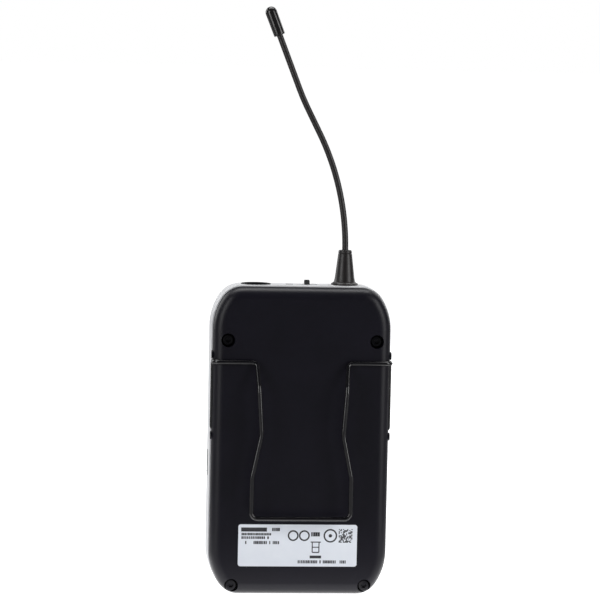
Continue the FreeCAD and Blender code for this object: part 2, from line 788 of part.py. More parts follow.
def board_screws():
    back = "main_board_y + board_thickness"
    screws = [small_screw(f"screw_{name}", x, z, back, "board_screw_length") for name, x, z in board_places()]
    keep("board_screws", group("board_screws", *screws))
    screws = [small_screw(f"display_screw_{side}", sign + "display_post_x", "display_post_z",
                          "display_board_y", "3.6") for side, sign in (("right", ""), ("left", "-"))]
    keep("display_board_screws", group("display_board_screws", *screws))


# ---------------------------------------------------------------- belt clip

def clip_leg(side, sign):
    name = f"belt_clip_leg_{side}"
    return keep(name, wire_sweep(name, clip_leg_points(sign), LEG_BENDS, "wire_radius"))


def clip_tongue():
    """The sprung loop: out from the cross wire, in to a waist, and flared to a square foot."""
    split = size("clip_split_x") - size("clip_split_gap") / 2
    shoulder, waist, foot = size("clip_shoulder_x"), size("clip_waist_x"), size("clip_foot_x")
    cross_y, stand_y, foot_y = size("cross_wire_y"), size("clip_stand_y"), size("clip_foot_y")
    half = [
        Vector(split, cross_y, size("cross_wire_z")),
        Vector(shoulder, cross_y, size("cross_wire_z")),
        Vector(shoulder - 0.7, stand_y, size("clip_shoulder_z")),
        Vector(waist, stand_y, size("clip_waist_z")),
        Vector(foot, stand_y - 0.2, size("clip_flare_z")),
        Vector(foot, foot_y, size("clip_foot_z")),
    ]
    mirrored = [Vector(-p.x, p.y, p.z) for p in reversed(half)]
    bends = [1.8, 6.0, 12.0, 10.0, 2.2]
    return keep("belt_clip_tongue", wire_sweep("belt_clip_tongue", half + mirrored,
                                               bends + bends[::-1], "wire_radius"))


def rating_label():
    label = box("label_blank", ("label_mid_x - label_width / 2", "label_mid_x + label_width / 2"),
                ("rear_y", "rear_y + label_thickness"),
                ("label_mid_z - label_height / 2", "label_mid_z + label_height / 2"))
    return keep("rating_label", softened("rating_label", label, size("label_corner_radius"), along(Vector(0, 1, 0))))


# ---------------------------------------------------------------- microphone jack

def mic_jack():
    at = ("jack_x", "top_row_y", "0")
    top = "case_height + jack_rim_height"
    shell = turned("mic_connector_shell", [
        ("jack_throat_radius", "jack_low_z"),
        ("jack_outer_radius", "jack_low_z"),
        ("jack_outer_radius", f"{top} - 0.2"),
        ("jack_outer_radius - 0.2", top),
        ("jack_mouth_radius", top),
        ("jack_mouth_radius", f"{top} - jack_mouth_depth"),
        ("jack_throat_radius", f"{top} - jack_mouth_depth"),
    ], at)
    keep("mic_connector_shell", shell)
    blank = turned("jack_insulator_blank", [
        ("0", "jack_low_z"), ("jack_throat_radius", "jack_low_z"),
        ("jack_throat_radius", "jack_floor_z"), ("0", "jack_floor_z")], at)
    pins, holes = [], []
    for n, (sx, sy) in enumerate(((1, 1), (-1, 1), (-1, -1), (1, -1)), start=1):
        x = f"jack_x + {sx} * jack_pin_circle * 0.707"
        y = f"top_row_y + {sy} * jack_pin_circle * 0.707"
        tip = "jack_pin_high_z - jack_pin_low_z"
        pins.append(turned(f"jack_pin_{n}", [
            ("0", "0"), ("jack_pin_radius", "0"), ("jack_pin_radius", f"{tip} - 0.3"),
            ("jack_pin_radius - 0.3", tip), ("0", tip)], (x, y, "jack_pin_low_z")))
        holes.append(rod(f"jack_pin_hole_{n}", "jack_pin_radius", "Z", ("jack_low_z - 1", "jack_floor_z + 1"), (x, y)))
    keep("mic_connector_insulator", cut("mic_connector_insulator", blank, *holes))
    keep("mic_connector_pins", group("mic_connector_pins", *pins))
    nut_high = "case_height - side_wall - jack_nut_relief"
    nut = rod("jack_nut_blank", "jack_nut_radius", "Z", (f"{nut_high} - jack_nut_height", nut_high),
              ("jack_x", "top_row_y"))
    bore = rod("jack_nut_bore", "jack_outer_radius", "Z", ("jack_low_z", "case_height"), ("jack_x", "top_row_y"))
    keep("mic_connector_nut", cut("mic_connector_nut", nut, bore))


# ---------------------------------------------------------------- antenna

def antenna():
    at = ("antenna_x", "top_row_y", "0")
    foot_top = "terminal_low_z + terminal_foot_height"
    keep("antenna_terminal", turned("antenna_terminal", [
        ("0", "terminal_low_z"), ("terminal_foot_radius", "terminal_low_z"),
        ("terminal_foot_radius", foot_top), ("terminal_radius", foot_top),
        ("terminal_radius", "terminal_high_z"), ("0", "terminal_high_z")], at))
    nut_high = "case_height - side_wall"
    nut = doc.addObject("Part::Prism", "antenna_nut_blank")
    nut.Polygon = 6
    bind(nut, Circumradius="antenna_nut_radius", Height="antenna_nut_height")
    place(nut, "antenna_x", "top_row_y", f"{nut_high} - antenna_nut_height")
    bore = rod("antenna_nut_bore", "terminal_radius", "Z", ("case_height - 10", "case_height"),
               ("antenna_x", "top_row_y"))
    keep("antenna_nut", cut("antenna_nut", nut, bore))
    base = "case_height"
    keep("antenna_boot", turned("antenna_boot", [
        ("terminal_radius", base),
        ("boot_flange_radius - 0.2", base),
        ("boot_flange_radius", f"{base} + 0.25"),
        ("boot_flange_radius", f"{base} + boot_flange_height - 0.25"),
        ("boot_flange_radius - 0.25", f"{base} + boot_flange_height"),
        ("boot_base_radius", f"{base} + boot_flange_height + 0.35"),
        ("boot_shoulder_radius", f"{base} + boot_shoulder_height"),
        ("boot_top_radius", f"{base} + boot_height - 0.4"),
        ("boot_top_radius - 0.4", f"{base} + boot_height"),
        ("whip_radius", f"{base} + boot_height"),
        ("whip_radius", "terminal_high_z"),
        ("terminal_radius", "terminal_high_z"),
    ], at))
    whip_and_cap()


def whip_and_cap():
    """The springy whip: upright in its boot, a long bend to the right, and a slight return near the tip.

    It leans forwards as well, so that its tip stands clear of the straight way into the jack.
    """
    start = Vector(size("antenna_x"), size("top_row_y"), size("terminal_high_z"))
    boot_top = Vector(start.x, start.y, size("case_height") + size("boot_height"))
    forward = math.tan(math.radians(size("whip_forward")))

    def heading(lean):
        angle = math.radians(lean)
        return Vector(math.sin(angle), -forward, math.cos(angle)).normalize()

    def tangent(radius, before, after):
        """How far before a corner a bend of this radius has to start."""
        return radius * math.tan(before.getAngle(after) / 2)

    upright = Vector(0, 0, 1)
    leaning = heading(size("whip_lean"))
    settled = heading(size("whip_lean") - size("whip_return"))
    first = tangent(size("whip_bend_radius"), upright, leaning)
    second = tangent(size("whip_return_radius"), leaning, settled)
    bend_point = boot_top + upright * first
    return_point = bend_point + leaning * (first + size("whip_straight") + second)
    end = return_point + settled * (second + size("whip_last_run"))
    # the whip ends inside the blind bore of its tip cap
    whip_end = end + settled * size("cap_overlap")
    whip = wire_sweep("antenna_whip", [start, bend_point, return_point, whip_end],
                      [size("whip_bend_radius"), size("whip_return_radius")], "whip_radius")
    keep("antenna_whip", whip)
    # the dome is a chain of chords of a quarter circle
    dome = []
    for angle in (0, 20, 40, 60, 75):
        across, along_axis = math.cos(math.radians(angle)), math.sin(math.radians(angle))
        dome.append((f"cap_radius * {across:.4f}", f"cap_length - cap_radius + cap_radius * {along_axis:.4f}"))
    cap = turned("antenna_tip_cap", [
        ("whip_radius", "0"),
        ("cap_radius - 0.15", "0"),
        ("cap_radius", "0.2"),
        *dome,
        ("0", "cap_length"),
        ("0", "cap_overlap"),
        ("whip_radius", "cap_overlap"),
    ], ("0", "0", "0"))
    for axis in "xyz":
        cap.setExpression(f"Placement.Base.{axis}", None)
    cap.Placement = Placement(end, Rotation(Vector(0, 0, 1), settled))
    keep("antenna_tip_cap", cap)


# ---------------------------------------------------------------- switch and status light

def switch_and_light():
    low_y, high_y = "top_row_y - 2.4", "top_row_y + 2.4"
    board_top = "top_board_z + 1"
    keep("top_board", box("top_board", ("-9.5", "9.5"), (low_y, high_y), ("top_board_z", board_top)))
    case = box("switch_case", ("switch_x - 5", "switch_x + 3.4"), (low_y, high_y), (board_top, "switch_body_high_z"))
    well = box("switch_well",
               ("switch_x - switch_travel - switch_lever_width / 2 - switch_gap",
                "switch_x + switch_lever_width / 2 + switch_gap"),
               ("top_row_y - switch_lever_depth / 2 - switch_gap", "top_row_y + switch_lever_depth / 2 + switch_gap"),
               ("switch_body_high_z - 2.5", "case_height"))
    keep("power_switch_body", cut("power_switch_body", case, well))
    lever = box("switch_lever", ("switch_x - switch_lever_width / 2", "switch_x + switch_lever_width / 2"),
                ("top_row_y - switch_lever_depth / 2", "top_row_y + switch_lever_depth / 2"),
                ("switch_body_high_z - 2.3", "switch_lever_high_z"))
    keep("power_switch_slider", softened("power_switch_slider", lever, 0.3, along(Vector(0, 1, 0))))
    lens = box("lens_blank", ("status_x - status_half", "status_x + status_half"),
               ("top_row_y - status_lens_half", "top_row_y + status_lens_half"),
               ("case_height - side_wall - 0.6", "case_height + 0.1"))
    keep("status_led_lens", lens)
    keep("status_led", box("status_led", ("status_x - 1", "status_x + 1"), ("top_row_y - 0.8", "top_row_y + 0.8"),
                           (board_top, "case_height - side_wall - 0.8")))


# ---------------------------------------------------------------- front controls

def push_button(name, sign):
    """A cap with a keeping flange and a stem towards its switch. Height runs forwards from the stem."""
    stem_end = "display_board_y - display_board_thickness - 2.05 - button_travel"
    flange_back = "(front_y + front_wall + 0.7)"
    front = f"({stem_end}) - (front_y - button_proud)"
    flange_front = f"({stem_end}) - (front_y + front_wall + 0.1)"
    profile = [
        ("0", "0"),
        ("1.4", "0"),
        ("1.4", f"({stem_end}) - {flange_back}"),
        ("button_flange_radius", f"({stem_end}) - {flange_back}"),
        ("button_flange_radius", flange_front),
        ("button_radius", flange_front),
        ("button_radius", f"{front} - 0.35"),
        ("button_radius - 0.35", front),
        ("button_radius - 1.1", front),
        ("button_radius - 1.5", f"{front} - 0.15"),
        ("0", f"{front} - 0.2"),
    ]
    return keep(name, turned(name, profile, (sign + "button_x", stem_end, "button_z"), FORWARD))


def display_parts():
    window = box("window_blank", ("0.1 - display_half_width", "display_half_width - 0.1"),
                 ("front_y + 0.05", "front_y + window_depth"),
                 ("display_z - display_half_height + 0.1", "display_z + display_half_height - 0.1"))
    keep("display_window", window)
    board_back = "display_board_y"
    board_face = "display_board_y - display_board_thickness"
    broad = box("display_board_low", ("-16.4", "16.4"), (board_face, board_back), ("62.4", "85"))
    narrow = box("display_board_high", ("-9.8", "9.8"), (board_face, board_back), ("84", "101"))
    board = fuse("display_board_blank", broad, narrow)
    holes = [rod(f"display_board_hole_{side}", "board_screw_radius + 0.1", "Y",
                 (f"{board_face} - 1", f"{board_back} + 1"), (sign + "display_post_x", "display_post_z"))
             for side, sign in (("right", ""), ("left", "-"))]
    keep("display_board", cut("display_board", board, *holes))
    keep("display_module", box("display_module", ("1.6 - display_half_width", "display_half_width - 1.6"),
                               ("front_y + front_wall + 0.2", board_face),
                               ("display_z - display_half_height + 1.2", "display_z + display_half_height - 1.2")))
    switches = [box(f"tact_switch_{side}", (f"({sign}button_x) - 3", f"({sign}button_x) + 3"),
                    (f"{board_face} - 2", board_face), ("button_z - 3", "button_z + 3"))
                for side, sign in (("right", ""), ("left", "-"))]
    keep("tact_switches", group("tact_switches", *switches))


def gain_control():
    board_face = "display_board_y - display_board_thickness"
    pot_front = f"({board_face}) - 2.1"
    blank = box("pot_case", ("-4.75", "4.75"), (pot_front, board_face), ("knob_z - 4.75", "knob_z + 4.75"))
    well = rod("pot_well", "1.7", "Y", (f"{pot_front} - 1", f"{pot_front} + 1.4"), ("0", "knob_z"))
    keep("gain_potentiometer", cut("gain_potentiometer", blank, well))
    stem = f"({pot_front}) + 1.2"
    face = f"{stem} - (front_y - knob_proud)"
    rim = f"{stem} - (front_y + front_wall - 0.2)"
    knob = turned("gain_knob_blank", [
        ("0", "0"),
        ("1.5", "0"),
        ("1.5", rim),
        ("knob_radius", rim),
        ("knob_radius", f"{face} - 0.35"),
        ("knob_radius - 0.35", face),
        ("0", face),
    ], ("0", stem, "knob_z"), FORWARD)
    slot = box("knob_slot", ("0 - knob_radius + 0.9", "knob_radius - 0.9"),
               ("front_y - knob_proud - 1", "front_y - knob_proud + 0.7"), ("knob_z - 0.5", "knob_z + 0.5"))
    keep("gain_knob", cut("gain_knob", knob, slot))


# ---------------------------------------------------------------- boards

def main_board():
    back = "main_board_y + board_thickness"
    blank = box("main_board_blank", ("0 - main_board_half", "main_board_half"), ("main_board_y", back),
                ("main_board_low_z", "main_board_high_z"))
    holes = [rod(f"hole_{name}", "board_screw_radius + 0.1", "Y", ("main_board_y - 1", f"{back} + 1"), (x, z))
             for name, x, z in board_places()]
    keep("main_circuit_board", cut("main_circuit_board", blank, *holes))
    can = box("shield_outside", ("-15", "5"), ("main_board_y - 2.6", "main_board_y"), ("70", "89"))
    can_inside = box("shield_inside", ("-14.7", "4.7"), ("main_board_y - 2.3", "main_board_y + 1"), ("70.3", "88.7"))
    keep("rf_shield_can", cut("rf_shield_can", can, can_inside))
    chips = [
        ("audio_chip", ("8", "14"), ("1.2",), ("80", "86")),
        ("control_chip", ("8", "16"), ("1.4",), ("69", "77")),
        ("crystal", ("8.5", "12"), ("1.1",), ("90", "92.2")),
        ("power_coil", ("15.6", "20"), ("2.2",), ("80", "84.4")),
    ]
    solids = [box(name, x, (f"main_board_y - {height[0]}", "main_board_y"), z) for name, x, height, z in chips]
    keep("surface_chips", group("surface_chips", *solids))
    keep("board_header", box("board_header", ("-9", "9"), ("display_board_y", "main_board_y"), ("62.8", "65.4")))


# ---------------------------------------------------------------- batteries

def battery_bay():
    back = "tray_back_y + 1"
    floor = box("bay_floor", ("0 - tray_half_width", "tray_half_width"), ("tray_front_y", back),
                ("tray_floor_z - tray_floor_thickness", "tray_floor_z"))
    ceiling = box("bay_ceiling", ("0 - tray_half_width", "tray_half_width"), ("tray_front_y", back),
                  ("tray_ceiling_z", "opening_high_z - 0.1"))
    rear = box("bay_rear", ("0 - tray_half_width", "tray_half_width"), ("tray_back_y", back),
               ("tray_floor_z - tray_floor_thickness", "opening_high_z - 0.1"))
    walls = [box(f"bay_wall_{side}", sorted([f"{sign} * tray_half_width", f"{sign} * (tray_half_width - 1.2)"],
                                            key=value_of),
                 ("tray_front_y + 3", back), ("tray_floor_z - tray_floor_thickness", "opening_high_z - 0.1"))
             for side, sign in (("right", 1), ("left", -1))]
    keep("battery_tray", fuse("battery_tray", floor, ceiling, rear, *walls))
    plate_low = ("tray_floor_z", "tray_floor_z + contact_thickness")
    plate_high = ("tray_ceiling_z - contact_thickness", "tray_ceiling_z")
    plates = [
        box("bridge_plate", ("-14", "14"), ("cell_y - 4.5", "cell_y + 4.5"), plate_low),
        box("plate_right", ("cell_x - 5", "cell_x + 5"), ("cell_y - 4.5", "cell_y + 4.5"), plate_high),
        box("plate_left", ("-cell_x - 5", "5 - cell_x"), ("cell_y - 4.5", "cell_y + 4.5"), plate_high),
    ]
    keep("battery_contact_plates", group("battery_contact_plates", *plates))
    springs = []
    for name, x, low in (("right", "cell_x", "tray_floor_z + contact_thickness"),
                         ("left", "-cell_x", "tray_ceiling_z - contact_thickness - spring_height")):
        coils = []
        for n, (radius, share) in enumerate((("spring_radius", 0), ("spring_radius - 1", 1))):
            ring = doc.addObject("Part::Torus", f"spring_coil_{name}_{n}")
            bind(ring, Radius1=radius, Radius2="spring_wire_radius")
            level = f"spring_wire_radius + {share} * (spring_height - 2 * spring_wire_radius)"
            place(ring, x, "cell_y", f"{low} + {level}")
            coils.append(ring)
        web = turned(f"spring_web_{name}", [
            ("spring_radius - 1.1", f"spring_height - 1.4 * spring_wire_radius"),
            ("spring_radius - 0.1", "0.6 * spring_wire_radius"),
            ("spring_radius + 0.1", "0.9 * spring_wire_radius"),
            ("spring_radius - 0.9", "spring_height - 1.1 * spring_wire_radius"),
        ], (x, "cell_y", low))
        springs.append(fuse(f"battery_spring_{name}", *coils, web))
    keep("battery_contact_springs", group("battery_contact_springs", *springs))
    start_right = "tray_floor_z + contact_thickness + spring_height"
    for side, x, low, turn in (("right", "cell_x", start_right, UP),
                               ("left", "-cell_x", "tray_ceiling_z - contact_thickness - spring_height",
                                Rotation(Vector(1, 0, 0), 180))):
        top = "cell_length + cell_nub_height"
        cell = turned(f"battery_cell_{side}", [
            ("0", "0"), ("cell_radius - 0.5", "0"), ("cell_radius", "0.5"),
            ("cell_radius", "cell_length - 0.5"), ("cell_radius - 0.5", "cell_length"),
            ("cell_nub_radius", "cell_length"), ("cell_nub_radius", top), ("0", top),
        ], (x, "cell_y", low), turn)
        keep(f"battery_cell_{side}", cell)


def build():
    outside, blank = front_solid()
    front_shell(outside, blank)
    rear_shell()
    battery_door(blank)
    hinge_pins()
    foam_pad()
    for side, sign in (("right", 1), ("left", -1)):
        release_tab(side, sign)
        clip_leg(side, sign)
    case_screws("upper")
    case_screws("lower")
    board_screws()
    clip_tongue()
    rating_label()
    mic_jack()
    antenna()
    switch_and_light()
    push_button("group_button", "-")
    push_button("channel_button", "")
    display_parts()
    gain_control()
    main_board()
    battery_bay()


def check():
    """Stop if anything in the document failed, or a sub-part has no sound solid."""
    for thing in doc.Objects:
        bad = [word for word in thing.State if word in ("Invalid", "Error")]
        if bad:
            raise RuntimeError(f"{thing.Name} is {bad}")
    for node, thing in nodes.items():
        shape = thing.Shape
        if shape.isNull() or not shape.isValid() or not shape.Solids:
            raise RuntimeError(f"{node} has no sound solid")


def write():
    os.makedirs("parts", exist_ok=True)
    for node, thing in nodes.items():
        thing.Shape.exportStep(f"parts/{node}.step")
        bounds = thing.Shape.BoundBox
        print(f"{node:28} solids {len(thing.Shape.Solids)}  volume {thing.Shape.Volume:10.2f}"
              f"  x {bounds.XMin:7.2f} {bounds.XMax:7.2f}  y {bounds.YMin:7.2f} {bounds.YMax:7.2f}"
              f"  z {bounds.ZMin:7.2f} {bounds.ZMax:7.2f}")


build()
doc.recompute()
check()
write()
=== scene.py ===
import math
import random

import bmesh
import bpy
from mathutils import Matrix, Vector


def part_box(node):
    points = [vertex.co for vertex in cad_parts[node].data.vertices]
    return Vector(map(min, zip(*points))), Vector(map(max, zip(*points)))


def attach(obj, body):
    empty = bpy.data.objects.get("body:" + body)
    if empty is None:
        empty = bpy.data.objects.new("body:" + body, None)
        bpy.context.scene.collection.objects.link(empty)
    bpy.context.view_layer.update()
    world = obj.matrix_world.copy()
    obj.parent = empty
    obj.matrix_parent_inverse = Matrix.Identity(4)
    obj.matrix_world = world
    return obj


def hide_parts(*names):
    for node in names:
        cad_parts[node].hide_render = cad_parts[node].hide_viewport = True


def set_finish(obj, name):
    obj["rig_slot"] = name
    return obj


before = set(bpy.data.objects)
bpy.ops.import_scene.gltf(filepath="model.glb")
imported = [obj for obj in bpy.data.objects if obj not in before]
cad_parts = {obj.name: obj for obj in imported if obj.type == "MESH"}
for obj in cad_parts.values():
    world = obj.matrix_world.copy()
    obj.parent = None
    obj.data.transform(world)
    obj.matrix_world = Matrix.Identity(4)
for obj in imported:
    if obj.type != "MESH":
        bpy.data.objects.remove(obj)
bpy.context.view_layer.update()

# Sizes below are in millimetres and become metres when a mesh is made.
MM = 0.001
UP = Matrix.Identity(3)
REARWARD = Matrix.Rotation(math.radians(-90), 3, "X")
FORWARD = Matrix.Rotation(math.radians(90), 3, "X")
# The same two turns as Euler angles, for grown pieces.
HEAD_TO_REAR = (math.radians(-90), 0.0, 0.0)
ON_EDGE = (math.radians(90), 0.0, 0.0)


def limits(node):
    """Lowest and highest corner of a CAD node, in millimetres."""
    low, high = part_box(node)
    return low / MM, high / MM


def middle(node):
    low, high = limits(node)
    return (low + high) / 2


def put(name, data):
    """A new object in the scene."""
    made = bpy.data.objects.new(name, data)
    bpy.context.scene.collection.objects.link(made)
    return made


def result_of(thing):
    """The plain mesh that an object's modifiers make."""
    graph = bpy.context.evaluated_depsgraph_get()
    return bpy.data.meshes.new_from_object(thing.evaluated_get(graph), depsgraph=graph)


def smoothed(mesh, angle):
    """Smooth shading, with a crease at any angle in degrees above the given one."""
    mesh.shade_smooth()
    mesh.set_sharp_from_angle(angle=math.radians(angle))
    return mesh


# ---------------- node trees

class Nodes:
    """A node tree being built. In a socket's name an underscore stands for a space."""

    def __init__(self, tree, prefix):
        self.tree, self.prefix = tree, prefix

    def feed(self, socket, value):
        if isinstance(value, bpy.types.NodeSocket):
            self.tree.links.new(value, socket)
        else:
            socket.default_value = value

    def node(self, kind, settings=None, **sockets):
        """Add a node, of a kind in this tree's family unless named in full, and return its outputs."""
        made = self.tree.nodes.new(kind if "Node" in kind else self.prefix + kind)
        for label, value in (settings or {}).items():
            setattr(made, label, value)
        for label, value in sockets.items():
            self.feed(made.inputs[label.replace("_", " ")], value)
        return made.outputs

    def in_order(self, kind, *values, **settings):
        """Add a shader node whose inputs share a name, feed them in order, and return its first output."""
        made = self.tree.nodes.new("ShaderNode" + kind)
        for label, value in settings.items():
            setattr(made, label, value)
        for socket, value in zip(made.inputs, values):
            self.feed(socket, value)
        return made.outputs[0]


# ---------------- finishes

class Finish(Nodes):
    """A material being mixed: one Principled shader and the textures that feed it."""

    def __init__(self, name, **shader):
        self.material = bpy.data.materials.new(name)
        self.material.use_nodes = True
        super().__init__(self.material.node_tree, "ShaderNode")
        self.shader = self.tree.nodes["Principled BSDF"]
        self.place = self.node("TexCoord")["Object"]
        for label, value in shader.items():
            self.shader.inputs[label.replace("_", " ")].default_value = value

    def stretched(self, scale, centre=(0, 0, 0)):
        """Object coordinates about a centre, squeezed along an axis where scale is above 1."""
        shift = [-c * MM * s for c, s in zip(centre, scale)]
        return self.node("Mapping", Vector=self.place, Location=shift, Scale=scale)["Vector"]

    def noise(self, grain, detail=3.0, rough=0.55, where=None):
        """Cloudy noise whose features are about grain millimetres across."""
        return self.node("TexNoise", Vector=where or self.place, Scale=1 / (grain * MM), Detail=detail,
                         Roughness=rough)["Fac"]

    def cells(self, grain, feature="F1", where=None):
        return self.node("TexVoronoi", {"feature": feature}, Vector=where or self.place,
                         Scale=1 / (grain * MM))["Distance"]

    def between(self, value, low, high, start=0.3, stop=0.7):
        return self.node("MapRange", Value=value, From_Min=start, From_Max=stop,
                         To_Min=low, To_Max=high)["Result"]

    def mixed(self, share, first, second):
        """Two colours, or a colour and a colour output, by a share."""
        mixer = self.tree.nodes.new("ShaderNodeMix")
        mixer.data_type = "RGBA"
        self.feed(mixer.inputs["Factor"], share)
        for socket, value in zip([s for s in mixer.inputs if s.type == "RGBA"], (first, second)):
            self.feed(socket, value if isinstance(value, bpy.types.NodeSocket) else (*value, 1.0))
        return next(s for s in mixer.outputs if s.type == "RGBA")

    def clouded(self, grain, dark, light):
        """Two colours mixed in clouds about grain millimetres across."""
        return self.mixed(self.between(self.noise(grain), 0, 1), dark, light)

    def colour(self, value):
        self.feed(self.shader.inputs["Base Color"], value)

    def roughness(self, value, low, high):
        """Roughness from low to high, as a texture goes."""
        self.feed(self.shader.inputs["Roughness"], self.between(value, low, high))

    def relief(self, height, depth, strength=1.0, under=None):
        """Bump of about depth millimetres, over an earlier bump where one is given."""
        below = {} if under is None else {"Normal": under}
        normal = self.node("Bump", Height=height, Distance=depth * MM, Strength=strength, **below)["Normal"]
        self.feed(self.shader.inputs["Normal"], normal)
        return normal


def moulded(name, dark, light, rough, grain, depth, patch=9.0, **shader):
    """Moulded plastic: faint clouding, a fine surface grain, and gloss that varies with it."""
    mix = Finish(name, **shader)
    mix.colour(mix.clouded(patch, dark, light))
    texture = mix.noise(grain, detail=4.0)
    mix.roughness(texture, *rough)
    mix.relief(texture, depth)
    return mix


def drawn_metal(name, dark, light, rough, along, grain=0.25, depth=0.004, **shader):
    """Metal with fine drawing or turning marks that run along one axis."""
    mix = Finish(name, Metallic=1.0, **shader)
    scale = [1.0 if axis == along else 9.0 for axis in "XYZ"]
    marks = mix.noise(grain * 9, detail=5.0, where=mix.stretched(scale))
    mix.colour(mix.clouded(3.0, dark, light))
    mix.roughness(marks, *rough)
    mix.relief(marks, depth)
    return mix


def black_case():
    mix = moulded("case black satin", (0.0015, 0.0012, 0.0040), (0.0027, 0.0022, 0.0060), (0.36, 0.47),
                  0.42, 0.010, patch=14.0, Specular_IOR_Level=0.20)
    fine = mix.noise(0.13, detail=2.0)
    coarse = mix.shader.inputs["Normal"].links[0].from_socket
    mix.relief(fine, 0.004, under=coarse)
    return mix


def silver_case():
    mix = Finish("case silver paint", Metallic=0.22, Coat_Weight=0.25, Coat_Roughness=0.28)
    flake = mix.cells(0.11)
    tone = mix.clouded(16.0, (0.74, 0.748, 0.765), (0.78, 0.786, 0.80))
    mix.colour(mix.mixed(mix.between(flake, 0.0, 0.35, 0.1, 0.7), tone, (0.86, 0.865, 0.88)))
    mix.roughness(mix.noise(0.5), 0.30, 0.40)
    mix.relief(flake, 0.003)
    return mix


def wire_finish():
    """Glossy black coated spring wire, its coat a little greyer where it has rubbed."""
    mix = Finish("clip wire black", Specular_IOR_Level=0.40)
    rubbed = mix.between(mix.noise(4.0, detail=5.0), 0, 1, 0.50, 0.78)
    mix.colour(mix.mixed(rubbed, (0.0025, 0.0023, 0.0035), (0.0090, 0.0086, 0.0092)))
    marks = mix.noise(0.5, detail=4.0)
    mix.roughness(marks, 0.10, 0.17)
    mix.relief(marks, 0.002)
    return mix


def label_film():
    mix = Finish("label film", Specular_IOR_Level=0.35)
    mix.colour(mix.clouded(5.0, (0.755, 0.79, 0.855), (0.785, 0.82, 0.88)))
    fibre = mix.noise(0.16, detail=5.0)
    mix.roughness(fibre, 0.38, 0.50)
    mix.relief(fibre, 0.002)
    return mix


def rubber(name, dark, light, rough):
    """Soft moulded rubber, with a slight lengthwise pull from the mould."""
    mix = Finish(name, Specular_IOR_Level=0.34)
    pull = mix.noise(2.4, detail=4.0, where=mix.stretched((3.5, 3.5, 1.0)))
    mix.colour(mix.mixed(mix.between(pull, 0, 1), dark, light))
    skin = mix.noise(0.20, detail=3.0)
    mix.roughness(skin, *rough)
    mix.relief(skin, 0.006, under=mix.relief(pull, 0.02))
    return mix


def solder_mask():
    """Green lacquer over copper: lighter where a track runs under it, with plated holes."""
    mix = Finish("board lacquer", Coat_Weight=0.4, Coat_Roughness=0.15)
    tracks = mix.node("TexBrick", Vector=mix.stretched((1.0, 1.0, 1.0)), Scale=1 / (2.6 * MM), Mortar_Size=0.05,
                      Mortar_Smooth=0.2, Brick_Width=0.9, Row_Height=0.35)["Fac"]
    holes = mix.between(mix.cells(1.9), 1, 0, 0.10, 0.14)
    lacquer = mix.mixed(tracks, (0.006, 0.070, 0.028), (0.020, 0.150, 0.060))
    mix.colour(mix.mixed(holes, lacquer, (0.78, 0.60, 0.28)))
    mix.roughness(mix.noise(0.6), 0.28, 0.42)
    mix.relief(tracks, 0.02)
    return mix


def smoked_glass():
    mix = Finish("display glass", Transmission_Weight=0.9, IOR=1.49)
    haze = mix.noise(6.0)
    mix.colour(mix.mixed(mix.between(haze, 0, 1), (0.34, 0.36, 0.40), (0.37, 0.39, 0.43)))
    mix.roughness(haze, 0.02, 0.05)
    return mix


def liquid_crystal():
    """The resting face of a small display: a fine dot grid under a grey-green film."""
    mix = Finish("display film")
    facing = mix.node("Mapping", Vector=mix.place, Rotation=(math.radians(90), 0, 0))["Vector"]
    dots = mix.node("TexBrick", {"offset": 0.0}, Vector=facing, Scale=1 / (0.9 * MM), Mortar_Size=0.06,
                    Brick_Width=0.45, Row_Height=0.45)["Fac"]
    ground = mix.clouded(4.0, (0.16, 0.19, 0.13), (0.19, 0.22, 0.15))
    mix.colour(mix.mixed(dots, ground, (0.11, 0.13, 0.09)))
    mix.roughness(mix.noise(0.3), 0.25, 0.35)
    mix.relief(dots, 0.006)
    return mix


def foam():
    mix = Finish("foam grey", Sheen_Weight=0.25, Sheen_Roughness=0.6)
    pore_hollows_and_shade = mix.cells(0.42)
    # the pore hollows are painted darker than the foam's own grey: painted shade in the pores, over a real
    # bumped pore pattern
    mix.colour(mix.mixed(mix.between(pore_hollows_and_shade, 0, 1, 0.1, 0.6), (0.045, 0.046, 0.050), (0.135, 0.137, 0.145)))
    mix.roughness(mix.noise(0.6), 0.82, 0.95)
    mix.relief(pore_hollows_and_shade, 0.08)
    return mix


def cell_wrap():
    """A plain printed sleeve: grey-blue with a lighter band towards one end."""
    mix = Finish("cell sleeve", Coat_Weight=0.5, Coat_Roughness=0.12, Metallic=0.55)
    height = mix.node("SeparateXYZ", Vector=mix.place)["Z"]
    band = mix.between(height, 0, 1, 38.0 * MM, 38.4 * MM)
    body = mix.clouded(5.0, (0.045, 0.070, 0.105), (0.060, 0.088, 0.125))
    mix.colour(mix.mixed(band, body, (0.46, 0.48, 0.50)))
    creases = mix.noise(1.8, detail=4.0, where=mix.stretched((1.0, 1.0, 0.25)))
    mix.roughness(creases, 0.22, 0.34)
    mix.relief(creases, 0.02)
    return mix


